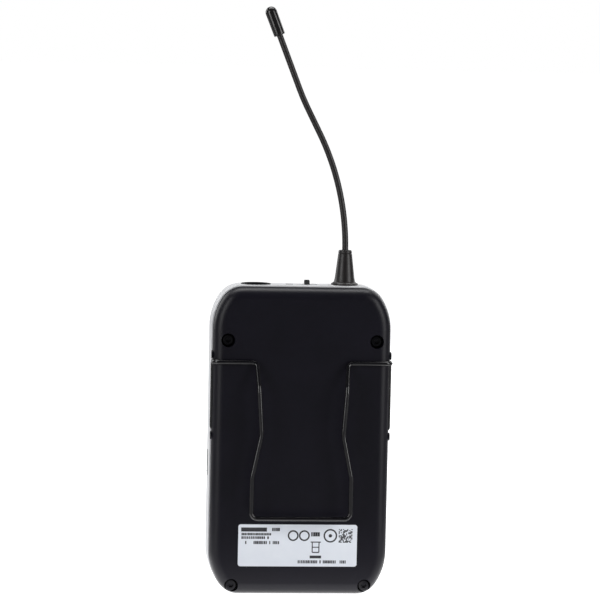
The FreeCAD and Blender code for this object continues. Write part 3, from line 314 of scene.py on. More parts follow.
def all_finishes():
    black = (0.010, 0.010, 0.011)
    mixes = {
        "case_black": black_case(),
        "case_light": silver_case(),
        "tab_grey": moulded("tab grey", (0.205, 0.21, 0.22), (0.235, 0.24, 0.25), (0.40, 0.52), 0.30, 0.008),
        "control_black": moulded("control black", black, (0.015, 0.015, 0.016), (0.42, 0.56), 0.22, 0.008,
                                 Specular_IOR_Level=0.4),
        "clip_wire": wire_finish(),
        "screw_black": drawn_metal("screw black oxide", (0.010, 0.010, 0.012), (0.020, 0.0195, 0.021),
                                   (0.30, 0.46), "Y"),
        "label_stock": label_film(),
        "label_ink": moulded("label ink", (0.012, 0.012, 0.016), (0.022, 0.022, 0.026), (0.45, 0.6),
                             0.12, 0.001, patch=1.0),
        "antenna_rubber": rubber("antenna rubber", (0.0060, 0.0048, 0.0050), (0.0105, 0.0086, 0.0086),
                                 (0.34, 0.46)),
        "antenna_gloss": rubber("antenna tip gloss", (0.0065, 0.0060, 0.0062), (0.0095, 0.0088, 0.0090),
                                (0.16, 0.24)),
        "jack_metal": drawn_metal("jack black plating", (0.005, 0.005, 0.006), (0.009, 0.009, 0.010),
                                  (0.46, 0.60), "X"),
        "jack_insulator": moulded("jack insulator", black, (0.014, 0.014, 0.015), (0.48, 0.6), 0.18, 0.006),
        "contact_brass": drawn_metal("contact plating", (0.80, 0.60, 0.27), (0.88, 0.68, 0.34),
                                     (0.18, 0.30), "Z"),
        "spring_steel": drawn_metal("spring steel", (0.48, 0.48, 0.49), (0.60, 0.60, 0.61), (0.20, 0.34), "Z"),
        "nickel": drawn_metal("nickel plate", (0.60, 0.58, 0.55), (0.70, 0.68, 0.64), (0.22, 0.36), "X"),
        "tin_can": drawn_metal("tinned can", (0.52, 0.53, 0.54), (0.64, 0.65, 0.66), (0.28, 0.42), "Z"),
        "board_green": solder_mask(),
        "chip_black": moulded("chip epoxy", (0.012, 0.012, 0.013), (0.020, 0.020, 0.021), (0.50, 0.64),
                              0.16, 0.006, patch=2.0),
        "display_dark": smoked_glass(),
        "display_face": liquid_crystal(),
        "led_lens": moulded("status lens", (0.020, 0.024, 0.022), (0.032, 0.038, 0.034), (0.12, 0.20),
                            0.3, 0.003, patch=1.0, Coat_Weight=0.6),
        "led_body": moulded("status lamp epoxy", (0.55, 0.56, 0.50), (0.62, 0.63, 0.56), (0.20, 0.3),
                            0.4, 0.004, patch=1.0),
        "bay_black": moulded("battery bay black", (0.010, 0.010, 0.012), (0.016, 0.016, 0.018), (0.46, 0.60),
                             0.30, 0.010),
        "foam_grey": foam(),
        "cell_jacket": cell_wrap(),
    }
    return {slot: mix.material for slot, mix in mixes.items()}


finishes = all_finishes()


# ---------------- shapes

def eased(corners, steps=5):
    """A profile whose corners are rounded. A corner is (radius, height) or (radius, height, rounding)."""
    line = []
    last = len(corners) - 1
    for n, corner in enumerate(corners):
        here = Vector(corner[:2])
        if len(corner) < 3 or n in (0, last):
            line.append(tuple(here))
            continue
        back, on = Vector(corners[n - 1][:2]) - here, Vector(corners[n + 1][:2]) - here
        reach = min(corner[2], back.length * 0.49, on.length * 0.49)
        start, stop = here + back.normalized() * reach, here + on.normalized() * reach
        for step in range(steps + 1):
            t = step / steps
            line.append(tuple(start * (1 - t) ** 2 + here * (2 * t * (1 - t)) + stop * t ** 2))
    return line


class Shape:
    """A mesh being built from closed shells, in millimetres."""

    def __init__(self):
        self.mesh = bmesh.new()

    def lathe(self, profile, at, turn=UP, segments=64, lobes=6):
        """Turn a profile about an axis through at. An entry is (radius, height) or (radius, height, wave)."""
        rings = []
        for entry in profile:
            radius, height = entry[:2]
            wave = entry[2] if len(entry) > 2 else 0.0
            ring = []
            for n in range(1 if radius <= 0 else segments):
                angle = 2 * math.pi * n / segments
                r = radius + wave * math.cos(lobes * angle)
                spot = Vector((r * math.cos(angle), r * math.sin(angle), height))
                ring.append(self.mesh.verts.new(turn @ spot + Vector(at)))
            rings.append(ring)
        poles = len(rings[0]) == 1 and len(rings[-1]) == 1
        pairs = zip(rings, rings[1:]) if poles else zip(rings, rings[1:] + rings[:1])
        for lower, upper in pairs:
            for n in range(segments):
                quad = [lower[n % len(lower)], lower[(n + 1) % len(lower)],
                        upper[(n + 1) % len(upper)], upper[n % len(upper)]]
                corners = list(dict.fromkeys(quad))
                if len(corners) > 2:
                    self.mesh.faces.new(corners)
        return self

    def block(self, low, high, rounding=0.0, steps=3, upright=0.0, axis=2):
        """A box between two corners. upright rounds the edges along one axis, before rounding softens all."""
        made = bmesh.ops.create_cube(self.mesh, size=1.0)["verts"]
        low, high = Vector(low), Vector(high)
        for vert in made:
            vert.co = low + Vector((high[k] - low[k]) * (vert.co[k] + 0.5) for k in range(3))
        if upright:
            edges = [e for e in dict.fromkeys(e for v in made for e in v.link_edges)
                     if abs((e.verts[0].co - e.verts[1].co).normalized()[axis]) > 0.99]
            result = bmesh.ops.bevel(self.mesh, geom=edges, offset=upright, segments=8, profile=0.5,
                                     affect="EDGES")
            made = list(dict.fromkeys([v for v in made if v.is_valid] + result["verts"]))
        if rounding:
            edges = [e for e in dict.fromkeys(e for v in made for e in v.link_edges)
                     if e.calc_face_angle(0) > math.radians(40)]
            bmesh.ops.bevel(self.mesh, geom=edges, offset=rounding, segments=steps, profile=0.5,
                            affect="EDGES")
        return self

    def finished(self, name, smooth=35):
        """The plain mesh, in metres, with its faces outwards."""
        bmesh.ops.recalc_face_normals(self.mesh, faces=self.mesh.faces)
        self.mesh.transform(Matrix.Scale(MM, 4))
        made = bpy.data.meshes.new(name)
        self.mesh.to_mesh(made)
        self.mesh.free()
        return smoothed(made, smooth)

    def shown(self, name, body, slot, finish=None, stands_for=(), smooth=35):
        """Finish the mesh and put it in the scene."""
        return show(name, self.finished(name, smooth), body, slot, finish, stands_for)


def show(name, mesh, body, slot, finish=None, stands_for=()):
    """Put a mesh in the scene as a piece that rides on a body, in a slot's finish."""
    piece = put(name, mesh)
    if not mesh.materials:
        mesh.materials.append(finishes[finish or slot])
    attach(piece, body)
    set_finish(piece, slot)
    if stands_for:
        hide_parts(*stands_for)
    return piece


# ---------------- grown pieces

class Grower(Nodes):
    """A geometry node tree with named inputs. Its result is kept as a plain mesh."""

    def __init__(self, name, **inputs):
        super().__init__(bpy.data.node_groups.new(name, "GeometryNodeTree"), "GeometryNode")
        face = self.tree.interface
        face.new_socket("Geometry", in_out="OUTPUT", socket_type="NodeSocketGeometry")
        face.new_socket("Geometry", in_out="INPUT", socket_type="NodeSocketGeometry")
        for label, kind in {**inputs, "Finish": "Material"}.items():
            face.new_socket(label.replace("_", " "), in_out="INPUT", socket_type="NodeSocket" + kind)
        self.input = self.tree.nodes.new("NodeGroupInput").outputs

    def attribute(self, name, kind="FLOAT"):
        return self.node("InputNamedAttribute", {"data_type": kind}, Name=name)["Attribute"]

    def helix(self, resolution, turns, start, end, height):
        return self.node("CurveSpiral", Resolution=resolution, Rotations=turns, Start_Radius=start,
                         End_Radius=end, Height=height)["Curve"]

    def tube(self, curve, radius, sides):
        """A round rod along a curve, with closed ends."""
        ring = self.node("CurvePrimitiveCircle", Resolution=sides, Radius=radius)["Curve"]
        return self.node("CurveToMesh", Curve=curve, Profile_Curve=ring, Fill_Caps=True)["Mesh"]

    def joined(self, *shapes):
        join = self.tree.nodes.new("GeometryNodeJoinGeometry")
        for shape in reversed(shapes):
            self.tree.links.new(shape, join.inputs["Geometry"])
        return join.outputs["Geometry"]

    def chance(self, share):
        """True for a share of the points, drawn from the seed."""
        drawn = self.node("FunctionNodeRandomValue", {"data_type": "BOOLEAN"}, Probability=share,
                          Seed=self.input["Seed"])
        return next(s for s in drawn if s.type == "BOOLEAN")

    def placed(self, instance, points=None, turn=None, **sockets):
        """A shape at each of some points, or of the base mesh's own, turned by Euler angles if given."""
        if turn is not None:
            sockets["Rotation"] = self.node("FunctionNodeEulerToRotation", Euler=turn)["Rotation"]
        return self.node("InstanceOnPoints", Points=points or self.input["Geometry"], Instance=instance,
                         **sockets)["Instances"]

    def end(self, geometry):
        real = self.node("RealizeInstances", Geometry=geometry)["Geometry"]
        coated = self.node("SetMaterial", Geometry=real, Material=self.input["Finish"])["Geometry"]
        self.tree.links.new(coated, self.tree.nodes.new("NodeGroupOutput").inputs["Geometry"])
        return self

    def grow(self, name, base, smooth=35, **values):
        """Run the tree on a base mesh and return the plain mesh that it makes."""
        seed = put(name + "_seed", base)
        modifier = seed.modifiers.new("Growth", "NODES")
        modifier.node_group = self.tree
        wanted = {label.replace("_", " "): value for label, value in values.items()}
        for item in self.tree.interface.items_tree:
            if item.in_out == "INPUT" and item.name in wanted:
                modifier[item.identifier] = wanted[item.name]
        made = result_of(seed)
        seed.modifiers.clear()
        bpy.data.objects.remove(seed)
        made.name = name
        return smoothed(made, smooth)

    def shown(self, name, base, body, slot, stands_for=(), smooth=35, finish=None, **values):
        """Grow a piece in a finish, the slot's own unless another is named, and put it in the scene."""
        mesh = self.grow(name, base, smooth, Finish=finishes[finish or slot], **values)
        return show(name, mesh, body, slot, stands_for=stands_for)


def seed_points(name, points, edges=(), **attributes):
    """A base mesh of points in millimetres, with a value of each attribute for each point."""
    base = bpy.data.meshes.new(name)
    base.from_pydata([Vector(p) * MM for p in points], list(edges), [])
    for label, values in attributes.items():
        kind = {int: "INT", float: "FLOAT"}.get(type(values[0]), "FLOAT_VECTOR")
        layer = base.attributes.new(label, kind, "POINT")
        flat = values if kind != "FLOAT_VECTOR" else [c for v in values for c in v]
        layer.data.foreach_set("vector" if kind == "FLOAT_VECTOR" else "value", flat)
    return base


def wire_grower():
    """Round wire along a route, each of whose corners has its own bend radius."""
    grower = Grower("Bent wire", Wire_Radius="Float", Sides="Int", Bend_Steps="Int")
    given = grower.input
    route = grower.node("MeshToCurve", Mesh=given["Geometry"])["Curve"]
    bent = grower.node("FilletCurve", {"mode": "POLY"}, Curve=route, Count=given["Bend Steps"],
                       Radius=grower.attribute("bend"))["Curve"]
    return grower.end(grower.tube(bent, given["Wire Radius"], given["Sides"]))


def screw_grower():
    """Screws at points: a given head, and a core with a rolled thread under it."""
    grower = Grower("Threaded screw", Head="Object", Core_Radius="Float", Thread_Radius="Float",
                    Thread_Size="Float", Length="Float", Turns="Float", Turn="Vector")
    given = grower.input
    length, radius = given["Length"], given["Thread Radius"]
    head = grower.node("ObjectInfo", Object=given["Head"])["Geometry"]
    core = grower.node("MeshCylinder", Vertices=24, Radius=given["Core Radius"], Depth=length)["Mesh"]
    half = grower.in_order("Math", length, 0.5, operation="MULTIPLY")
    lift = grower.node("ShaderNodeCombineXYZ", Z=half)["Vector"]
    raised = grower.node("Transform", Geometry=core, Translation=lift)["Geometry"]
    thread = grower.tube(grower.helix(20, given["Turns"], radius, radius, length), given["Thread Size"], 6)
    return grower.end(grower.placed(grower.joined(head, raised, thread), turn=given["Turn"]))


def coil_grower():
    """Conical springs at points, each turned by its own attribute."""
    grower = Grower("Conical spring", Turns="Float", Broad_Radius="Float", Narrow_Radius="Float",
                    Height="Float", Wire_Radius="Float")
    given = grower.input
    helix = grower.helix(40, given["Turns"], given["Broad Radius"], given["Narrow Radius"], given["Height"])
    spring = grower.tube(helix, given["Wire Radius"], 12)
    return grower.end(grower.placed(spring, turn=grower.attribute("turn", "FLOAT_VECTOR")))


def ridge_grower():
    """A row of rounded ribs from each point, a step apart."""
    grower = Grower("Grip ribs", Count="Int", Step="Vector", Run="Vector", Rib_Radius="Float")
    given = grower.input
    row = grower.node("MeshLine", Count=given["Count"], Offset=given["Step"])["Mesh"]
    line = grower.node("CurvePrimitiveLine", End=given["Run"])["Curve"]
    return grower.end(grower.placed(grower.placed(grower.tube(line, given["Rib Radius"], 16), row)))


def rim_grower():
    """Rounded teeth round a rim at each point, their length along the turned axis."""
    grower = Grower("Rim teeth", Teeth="Int", Rim_Radius="Float", Tooth_Radius="Float",
                    Tooth_Length="Float", Turn="Vector")
    given = grower.input
    rim = grower.node("MeshCircle", Vertices=given["Teeth"], Radius=given["Rim Radius"])["Mesh"]
    run = grower.node("ShaderNodeCombineXYZ", Z=given["Tooth Length"])["Vector"]
    line = grower.node("CurvePrimitiveLine", End=run)["Curve"]
    teeth = grower.placed(grower.tube(line, given["Tooth Radius"], 10), rim)
    return grower.end(grower.placed(teeth, turn=given["Turn"]))


def print_grower():
    """Lines of small blocks in place of lettering: one line per point, with gaps like those between words."""
    grower = Grower("Printed lines", Ink_Depth="Float", Gap_Share="Float", Seed="Int")
    given = grower.input
    letters = grower.node("DuplicateElements", {"domain": "POINT"}, Geometry=given["Geometry"],
                          Amount=grower.attribute("letters", "INT"))
    pitch = grower.attribute("pitch")
    along = grower.in_order("Math", letters["Duplicate Index"], pitch, operation="MULTIPLY")
    # a line is read from behind the pack, so it runs towards -X
    backwards = grower.in_order("Math", along, -1.0, operation="MULTIPLY")
    shift = grower.node("ShaderNodeCombineXYZ", X=backwards)["Vector"]
    spread = grower.node("SetPosition", Geometry=letters["Geometry"], Offset=shift)["Geometry"]
    words = grower.node("DeleteGeometry", {"domain": "POINT"}, Geometry=spread,
                        Selection=grower.chance(given["Gap Share"]))["Geometry"]
    drawn = grower.tree.nodes.new("FunctionNodeRandomValue")
    grower.feed(drawn.inputs["Seed"], given["Seed"])
    narrowest, widest = [s for s in drawn.inputs if s.type == "VALUE" and s.name in ("Min", "Max")]
    narrowest.default_value, widest.default_value = 0.60, 0.95
    share = next(s for s in drawn.outputs if s.type == "VALUE")
    width = grower.in_order("Math", share, pitch, operation="MULTIPLY")
    scale = grower.node("ShaderNodeCombineXYZ", X=width, Y=given["Ink Depth"],
                        Z=grower.attribute("tall"))["Vector"]
    cube = grower.node("MeshCube", Size=(1.0, 1.0, 1.0))["Mesh"]
    return grower.end(grower.placed(cube, words, Scale=scale))


def check_grower():
    """A square of small blocks with some left out by chance, which encodes nothing."""
    grower = Grower("Chance check", Cells="Int", Side="Float", Cell_Size="Vector", Fill_Share="Float",
                    Seed="Int", Turn="Vector")
    given = grower.input
    grid = grower.node("MeshGrid", Size_X=given["Side"], Size_Y=given["Side"], Vertices_X=given["Cells"],
                       Vertices_Y=given["Cells"])["Mesh"]
    cube = grower.node("MeshCube", Size=given["Cell Size"])["Mesh"]
    cells = grower.placed(cube, grid, Selection=grower.chance(given["Fill Share"]))
    return grower.end(grower.placed(cells, turn=given["Turn"]))


wire = wire_grower()
screws = screw_grower()
ribs = ridge_grower()


# ---------------- belt clip

CLIP_WIRE_RADIUS = 0.8


def clip_wire(name, body, points, bends, stands_for):
    count = len(points)
    base = seed_points(name + "_route", points, [(n, n + 1) for n in range(count - 1)],
                       bend=[b * MM for b in [0.0, *bends, 0.0]])
    wire.shown(name, base, body, "clip_wire", (stands_for,), 50, Wire_Radius=CLIP_WIRE_RADIUS * MM,
               Sides=24, Bend_Steps=10)


def belt_clip():
    cross_y, cross_z, leg_x, leg_y, hook_z = 11.4, 83.2, 31.5, 6.6, 59.0
    for side, sign in (("right", 1), ("left", -1)):
        clip_wire(f"clip_leg_{side}", "case", [
            (sign * 29.4, leg_y, hook_z),
            (sign * leg_x, leg_y, hook_z),
            (sign * leg_x, leg_y, cross_z),
            (sign * leg_x, cross_y, cross_z),
            (sign * 22.05, cross_y, cross_z),
        ], [1.1, 1.6, 2.0], f"belt_clip_leg_{side}")
    half = [
        (21.95, cross_y, cross_z),
        (16.3, cross_y, cross_z),
        (15.6, 16.2, 74.0),
        (14.5, 16.2, 58.0),
        (17.6, 16.0, 43.0),
        (17.6, 15.7, 28.1),
    ]
    bends = [1.8, 6.0, 12.0, 10.0, 2.2]
    clip_wire("clip_tongue_wire", "clip_tongue", half + [(-x, y, z) for x, y, z in reversed(half)],
              bends + bends[::-1], "belt_clip_tongue")


# ---------------- screws

def screw_head(name, radius, height, socket, depth, finish):
    """A low domed head with a six-lobed socket, standing on its seat at height 0."""
    shape = Shape().lathe(
        eased([(0, 0), (radius, 0, 0.12), (radius, height * 0.72, 0.3), (radius * 0.86, height, 0.3),
               (socket * 1.25, height)])
        + [(socket * 1.06, height, socket * 0.14), (socket * 0.98, height - 0.08, socket * 0.14),
           (socket * 0.96, height - depth, socket * 0.14), (0, height - depth - 0.15)],
        (0, 0, 0), segments=72)
    head = bpy.data.objects.new(name + "_head", shape.finished(name + "_head"))
    head.data.materials.append(finishes[finish])
    return head


def screw_set(name, nodes, places, seat_y, end_y, radius, height, shank, slot, pitch):
    """Screws driven from the rear, at (x, z) places."""
    head = screw_head(name, radius, height, radius * 0.40, height * 0.6, slot)
    # the core reaches a little way into its head
    head.data.transform(Matrix.Translation((0, 0, (seat_y - end_y) * MM)))
    length = seat_y - end_y + 0.1
    base = seed_points(name + "_places", [(x, end_y, z) for x, z in places])
    root = shank * 0.84 * MM
    screws.shown(name, base, "case", slot, nodes, Head=head, Core_Radius=root, Thread_Radius=root,
                 Thread_Size=shank * 0.15 * MM, Length=length * MM, Turns=(length - 0.3) / pitch,
                 Turn=HEAD_TO_REAR)
    bpy.data.objects.remove(head)


def all_screws():
    for level in ("upper", "lower"):
        low, high = limits(f"case_screws_{level}")
        radius = (high.z - low.z) / 2
        x, z = high.x - radius, (high.z + low.z) / 2
        screw_set(f"case_screws_{level}_threaded", (f"case_screws_{level}",), [(x, z), (-x, z)],
                  7.0, low.y, radius, high.y - 7.0, 1.05, "screw_black", 0.8)
    low, high = limits("board_screws")
    radius = 1.7
    x = high.x - radius
    screw_set("board_screws_threaded", ("board_screws",),
              [(sx * x, z) for sx in (1, -1) for z in (low.z + radius, high.z - radius)],
              high.y - 1.1, low.y, radius, 1.1, 0.78, "nickel", 0.6)
    low, high = limits("display_board_screws")
    x, z = high.x - radius, (low.z + high.z) / 2
    screw_set("display_screws_threaded", ("display_board_screws",), [(x, z), (-x, z)],
              high.y - 1.1, low.y, radius, 1.1, 0.78, "nickel", 0.6)


# ---------------- label

def rating_label():
    """A pale film with rounded corners, printed with plain bars, rings and blocks in place of lettering."""
    low, high = limits("rating_label")
    film = Shape().block(low, high, rounding=0.03, steps=2, upright=0.9, axis=1)
    film.shown("label_film", "case", "label_stock", stands_for=("rating_label",))
    ink = 0.02
    face = high.y

    def spot(across, down):
        """A point on the film, from the corner that is at the left and top for someone facing it."""
        return (high.x - across, face, high.z - down)

    lines = [
        # across, down, letters, pitch, tall
        (11.6, 1.80, 5, 0.72, 1.15),
        (1.4, 3.50, 19, 0.56, 0.85),
        (1.4, 4.75, 15, 0.66, 0.95),
        (1.4, 6.50, 3, 0.66, 1.10),
        (5.7, 6.50, 15, 0.62, 1.10),
        (26.3, 3.45, 4, 0.82, 1.50),
        (21.6, 13.35, 29, 0.60, 1.10),
    ]
    base = seed_points("label_lines", [spot(a, d) for a, d, *_ in lines],
                       letters=[n for *_, n, p, t in lines], pitch=[p * MM for *_, p, t in lines],
                       tall=[t * MM for *_, t in lines])
    print_grower().shown("label_printed_lines", base, "case", "label_stock", finish="label_ink",
                         Ink_Depth=ink * MM, Gap_Share=0.10, Seed=11)
    place = seed_points("label_check_place", [spot(38.35, 3.95)])
    check_grower().shown("label_printed_check", place, "case", "label_stock", finish="label_ink", Cells=13,
                         Side=4.55 * MM, Cell_Size=(0.36 * MM, 0.36 * MM, ink * MM), Fill_Share=0.55, Seed=5,
                         Turn=ON_EDGE)

    marks = Shape()

    def bar(x, z, wide, tall):
        marks.block((x - wide / 2, face - ink / 2, z - tall / 2), (x + wide / 2, face + ink / 2, z + tall / 2))

    def ring(across, down, inner, outer, segments=64):
        marks.lathe([(inner, -ink / 2), (outer, -ink / 2), (outer, ink / 2), (inner, ink / 2)],
                    spot(across, down), REARWARD, segments)

    for across, down, wide, tall in ((5.6, 1.85, 9.2, 1.45), (27.7, 11.60, 4.1, 1.0)):
        x, _, z = spot(across, down)
        bar(x, z, wide, tall)
    stroke = 0.55
    for across, outer in ((19.6, 1.95), (23.6, 1.95), (32.9, 2.45)):
        ring(across, 3.95, outer - stroke, outer)
    ring(32.9, 3.95, 0, 0.62, 32)
    # an outlined tray shape: a plain pictogram
    x, _, z = spot(27.7, 8.1)
    for dx, dz, wide, tall in ((0, 1.85, 3.6, 0.40), (0, -1.85, 2.4, 0.40), (-1.2, 0, 0.36, 3.6),
                               (1.2, 0, 0.36, 3.6), (0, 0, 2.4, 0.32)):
        bar(x + dx, z + dz, wide, tall)
    marks.shown("label_printed_marks", "case", "label_stock", "label_ink")


# ---------------- antenna

def antenna():
    low, high = limits("antenna_boot")
    x, y, _ = middle("antenna_boot")
    base, top = low.z, high.z
    whip_radius, bore = 1.1, 2.2
    boot = Shape().lathe(eased([
        (bore, base),
        (4.82, base, 0.2),
        (4.84, base + 0.55, 0.3),
        (3.92, base + 0.95, 0.5),
        (3.52, base + 2.4, 1.2),
        (2.52, top - 1.75, 0.6),
        (2.48, top - 1.30, 0.12),
        (2.32, top - 1.18, 0.10),
        (2.32, top - 1.02, 0.10),
        (2.46, top - 0.90, 0.12),
        (2.32, top, 0.55),
        (1.50, top, 0.2),
        (whip_radius, top - 0.25, 0.1),
        (whip_radius, base + 1.0),
        (bore, base + 1.0),
    ]), (x, y, 0), segments=96)
    boot.shown("antenna_boot_moulding", "case", "antenna_rubber", stands_for=("antenna_boot",), smooth=40)

    # upright out of its boot, a long bend to the right, and a slight return towards the tip, leaning forwards
    def heading(lean, forward=5.6):
        angle = math.radians(lean)
        return Vector((math.sin(angle), -math.tan(math.radians(forward)), math.cos(angle))).normalized()

    first_bend, second_bend, lean, settled = 91.0, 90.0, heading(26.5), heading(21.1)
    upright = Vector((0, 0, 1))
    first = first_bend * math.tan(upright.angle(lean) / 2)
    second = second_bend * math.tan(lean.angle(settled) / 2)
    start = Vector((x, y, base + 1.0))
    bend_point = Vector((x, y, top)) + upright * first
    return_point = bend_point + lean * (first + 9.6 + second)
    tip = return_point + settled * (second + 20.0)
    points = [start, bend_point, return_point, tip + settled * 4.0]
    route = seed_points("whip_route", points, [(0, 1), (1, 2), (2, 3)],
                        bend=[0.0, first_bend * MM, second_bend * MM, 0.0])
    wire.shown("antenna_whip_rod", route, "case", "antenna_rubber", ("antenna_whip",), 50,
               Wire_Radius=whip_radius * MM, Sides=32, Bend_Steps=32)

    length, radius = 10.7, 2.1
    dome = [(radius * math.cos(a), length - radius + radius * math.sin(a))
            for a in (math.radians(d) for d in range(0, 90, 9))]
    outside = eased([(whip_radius, 0), (radius - 0.12, 0, 0.12), (radius - 0.08, 0.3, 0.1),
                     (radius, length - radius)])
    cap = Shape().lathe([(0, 4.0), (whip_radius, 4.0), *outside[:-1], *dome, (0, length)], tip,
                        upright.rotation_difference(settled).to_matrix(), segments=64)
    cap.shown("antenna_tip_moulding", "case", "antenna_rubber", "antenna_gloss",
              stands_for=("antenna_tip_cap",), smooth=40)


# ---------------- top row

def mic_jack():
    low, high = limits("mic_connector_shell")
    x, y, _ = middle("mic_connector_shell")
    top, outer, mouth, throat = high.z, (high.x - low.x) / 2, 4.4, 4.15
    shell = Shape().lathe(eased([
        (throat, low.z),
        (outer, low.z, 0.15),
        (outer, top - 0.22, 0.05),
        (outer - 0.22, top, 0.12),
        (mouth + 0.28, top, 0.1),
        (mouth, top - 0.28, 0.1),
        (mouth, top - 1.6, 0.02),
        (mouth + 0.18, top - 1.65, 0.05),
        (mouth + 0.18, top - 2.25, 0.05),
        (mouth, top - 2.3, 0.02),
        (mouth, top - 4.0, 0.05),
        (throat, top - 4.0),
    ]), (x, y, 0), segments=96)
    shell.shown("mic_jack_shell", "case", "jack_metal", stands_for=("mic_connector_shell",))
    low, high = limits("mic_connector_pins")
    radius = 0.5
    reach = (high.x - low.x) / 2 - radius
    length = high.z - low.z
    pin = eased([(0, 0), (radius * 0.8, 0, 0.05), (radius * 0.8, 2.0, 0.1), (radius, 2.3, 0.1),
                 (radius, length - 0.55, 0.35), (radius * 0.55, length - 0.08, 0.2), (0, length)])
    contacts = Shape()
    for sx in (1, -1):
        for sy in (1, -1):
            contacts.lathe(pin, (x + sx * reach, y + sy * reach, low.z), segments=32)
    contacts.shown("mic_jack_contacts", "case", "contact_brass", stands_for=("mic_connector_pins",), smooth=50)


def switch_lever():
    low, high = limits("power_switch_slider")
    lever = Shape().block(low, (high.x, high.y, high.z - 0.12), rounding=0.28, steps=4)
    lever.shown("switch_lever", "power_lever", "control_black", stands_for=("power_switch_slider",))
    count, step = 4, 0.42
    start = ((low.x + high.x) / 2 - step * (count - 1) / 2, low.y + 0.32, high.z - 0.20)
    ribs.shown("switch_lever_ribs", seed_points("lever_rib_start", [start]), "power_lever", "control_black",
               Count=count, Step=(step * MM, 0.0, 0.0), Run=(0.0, (high.y - low.y - 0.64) * MM, 0.0),
               Rib_Radius=0.19 * MM)


def status_light():
    low, high = limits("status_led_lens")
    lens = Shape().block(low, high, rounding=0.12, steps=3, upright=0.45, axis=2)
    lens.shown("status_lens", "case", "led_lens", stands_for=("status_led_lens",))


# ---------------- front controls

def front_button(node, body, raised_ring):
    """A domed key with a shallow finger dish and a raised mark to tell the two apart by touch."""
    low, high = limits(node)
    x, _, z = middle(node)
    back, face = high.y, high.y - low.y
    flange_front, flange = 1.05, (high.x - low.x) / 2
    key = Shape().lathe(eased([
        (0, 0),
        (1.4, 0, 0.1),
        (1.4, 0.25, 0.05),
        (flange, 0.25, 0.08),
        (flange, flange_front, 0.08),
        (3.0, flange_front, 0.08),
        (3.0, face - 0.1, 0.4),
        (2.55, face, 0.3),
        (1.7, face - 0.14, 0.3),
        (0, face - 0.2),
    ]), (x, back, z), FORWARD, segments=64)
    if raised_ring:
        mark = [(0.55, face - 0.3), (0.8, face - 0.3), (0.8, face - 0.08, 0.06), (0.55, face - 0.08, 0.06)]
    else:
        mark = [(0, face - 0.3), (0.5, face - 0.3), (0.5, face - 0.1, 0.15), (0, face - 0.04)]
    key.lathe(eased(mark), (x, back, z), FORWARD, segments=48 if raised_ring else 32)
    key.shown(body + "_cap", body, "control_black", stands_for=(node,))


def gain_knob():
    low, high = limits("gain_knob")
    z = (low.z + high.z) / 2
    back, face, radius = high.y, high.y - low.y, (high.x - low.x) / 2
    dial = 2.3
    rim = face - dial
    knob = Shape().lathe(eased([
        (0, 0),
        (1.5, 0, 0.1),
        (1.5, rim, 0.1),
        (radius - 0.12, rim, 0.1),
        (radius - 0.12, face - 0.1, 0.3),
        (radius - 0.55, face, 0.2),
        (0, face),
    ]), (0, back, z), FORWARD, segments=96)
    mesh = knob.finished("gain_knob_blank")
    slot = Shape().block((-radius + 0.9, low.y - 1.0, z - 0.5), (radius - 0.9, low.y + 0.7, z + 0.5),
                         rounding=0.15, steps=3)
    cutter, blank = put("knob_slot_cutter", slot.finished("knob_slot_cutter")), put("knob_blank", mesh)
    cutting = blank.modifiers.new("Slot", "BOOLEAN")
    cutting.object = cutter
    cutting.operation = "DIFFERENCE"
    cutting.solver = "EXACT"
    slotted = result_of(blank)
    for thing in (cutter, blank):
        bpy.data.objects.remove(thing)
    slotted.materials.clear()
    show("gain_dial_knob", slotted, "gain_dial", "control_black", stands_for=("gain_knob",))
    rim_grower().shown("gain_dial_teeth", seed_points("knob_rim", [(0, back - rim - 0.15, z)]), "gain_dial",
                       "control_black", Teeth=36, Rim_Radius=(radius - 0.14) * MM, Tooth_Radius=0.14 * MM,
                       Tooth_Length=(dial - 0.75) * MM, Turn=ON_EDGE)


def release_tabs():
    for side, sign in (("right", 1), ("left", -1)):
        low, high = limits(f"door_release_tab_{side}")
        near, far = (low.x, high.x) if sign > 0 else (high.x, low.x)
        wall = near + sign * 1.0
        body = f"release_tab_{side}"
        # the finger pad stops a rib's height short of the outside
        skin = far - sign * 0.16
        tab = Shape()
        pad_x, rim_x = sorted((wall - sign * 0.2, skin)), sorted((near, wall))
        tab.block((pad_x[0], low.y, low.z + 1), (pad_x[1], high.y - 1, high.z - 1), rounding=0.14, steps=3,
                  upright=0.6, axis=0)
        tab.block((rim_x[0], low.y, low.z), (rim_x[1], high.y, high.z), rounding=0.12, steps=2)
        tab.shown(f"release_pad_{side}", body, "tab_grey", stands_for=(f"door_release_tab_{side}",))
        count, step = 7, 1.05
        start = (skin, low.y + 0.45, (low.z + high.z) / 2 - step * (count - 1) / 2)
        ribs.shown(f"release_pad_ribs_{side}", seed_points("tab_rib_start", [start]), body, "tab_grey",
                   Count=count, Step=(0.0, 0.0, step * MM), Run=(0.0, (high.y - 1 - low.y - 0.9) * MM, 0.0),
                   Rib_Radius=0.155 * MM)


# ---------------- inside the battery bay

def battery_springs():
    low, high = limits("battery_contact_springs")
    wire_radius, broad = 0.28, 3.4
    height = 1.5 - 2 * wire_radius
    y = (low.y + high.y) / 2
    x = high.x - broad - 0.3
    base = seed_points("spring_feet", [(x, y, low.z + wire_radius), (-x, y, high.z - wire_radius)],
                       turn=[(0.0, 0.0, 0.0), (math.pi, 0.0, 0.0)])
    coil_grower().shown("battery_springs_coiled", base, "case", "spring_steel", ("battery_contact_springs",),
                        60, Turns=2.75, Broad_Radius=broad * MM, Narrow_Radius=1.5 * MM,
                        Height=height * MM, Wire_Radius=wire_radius * MM)


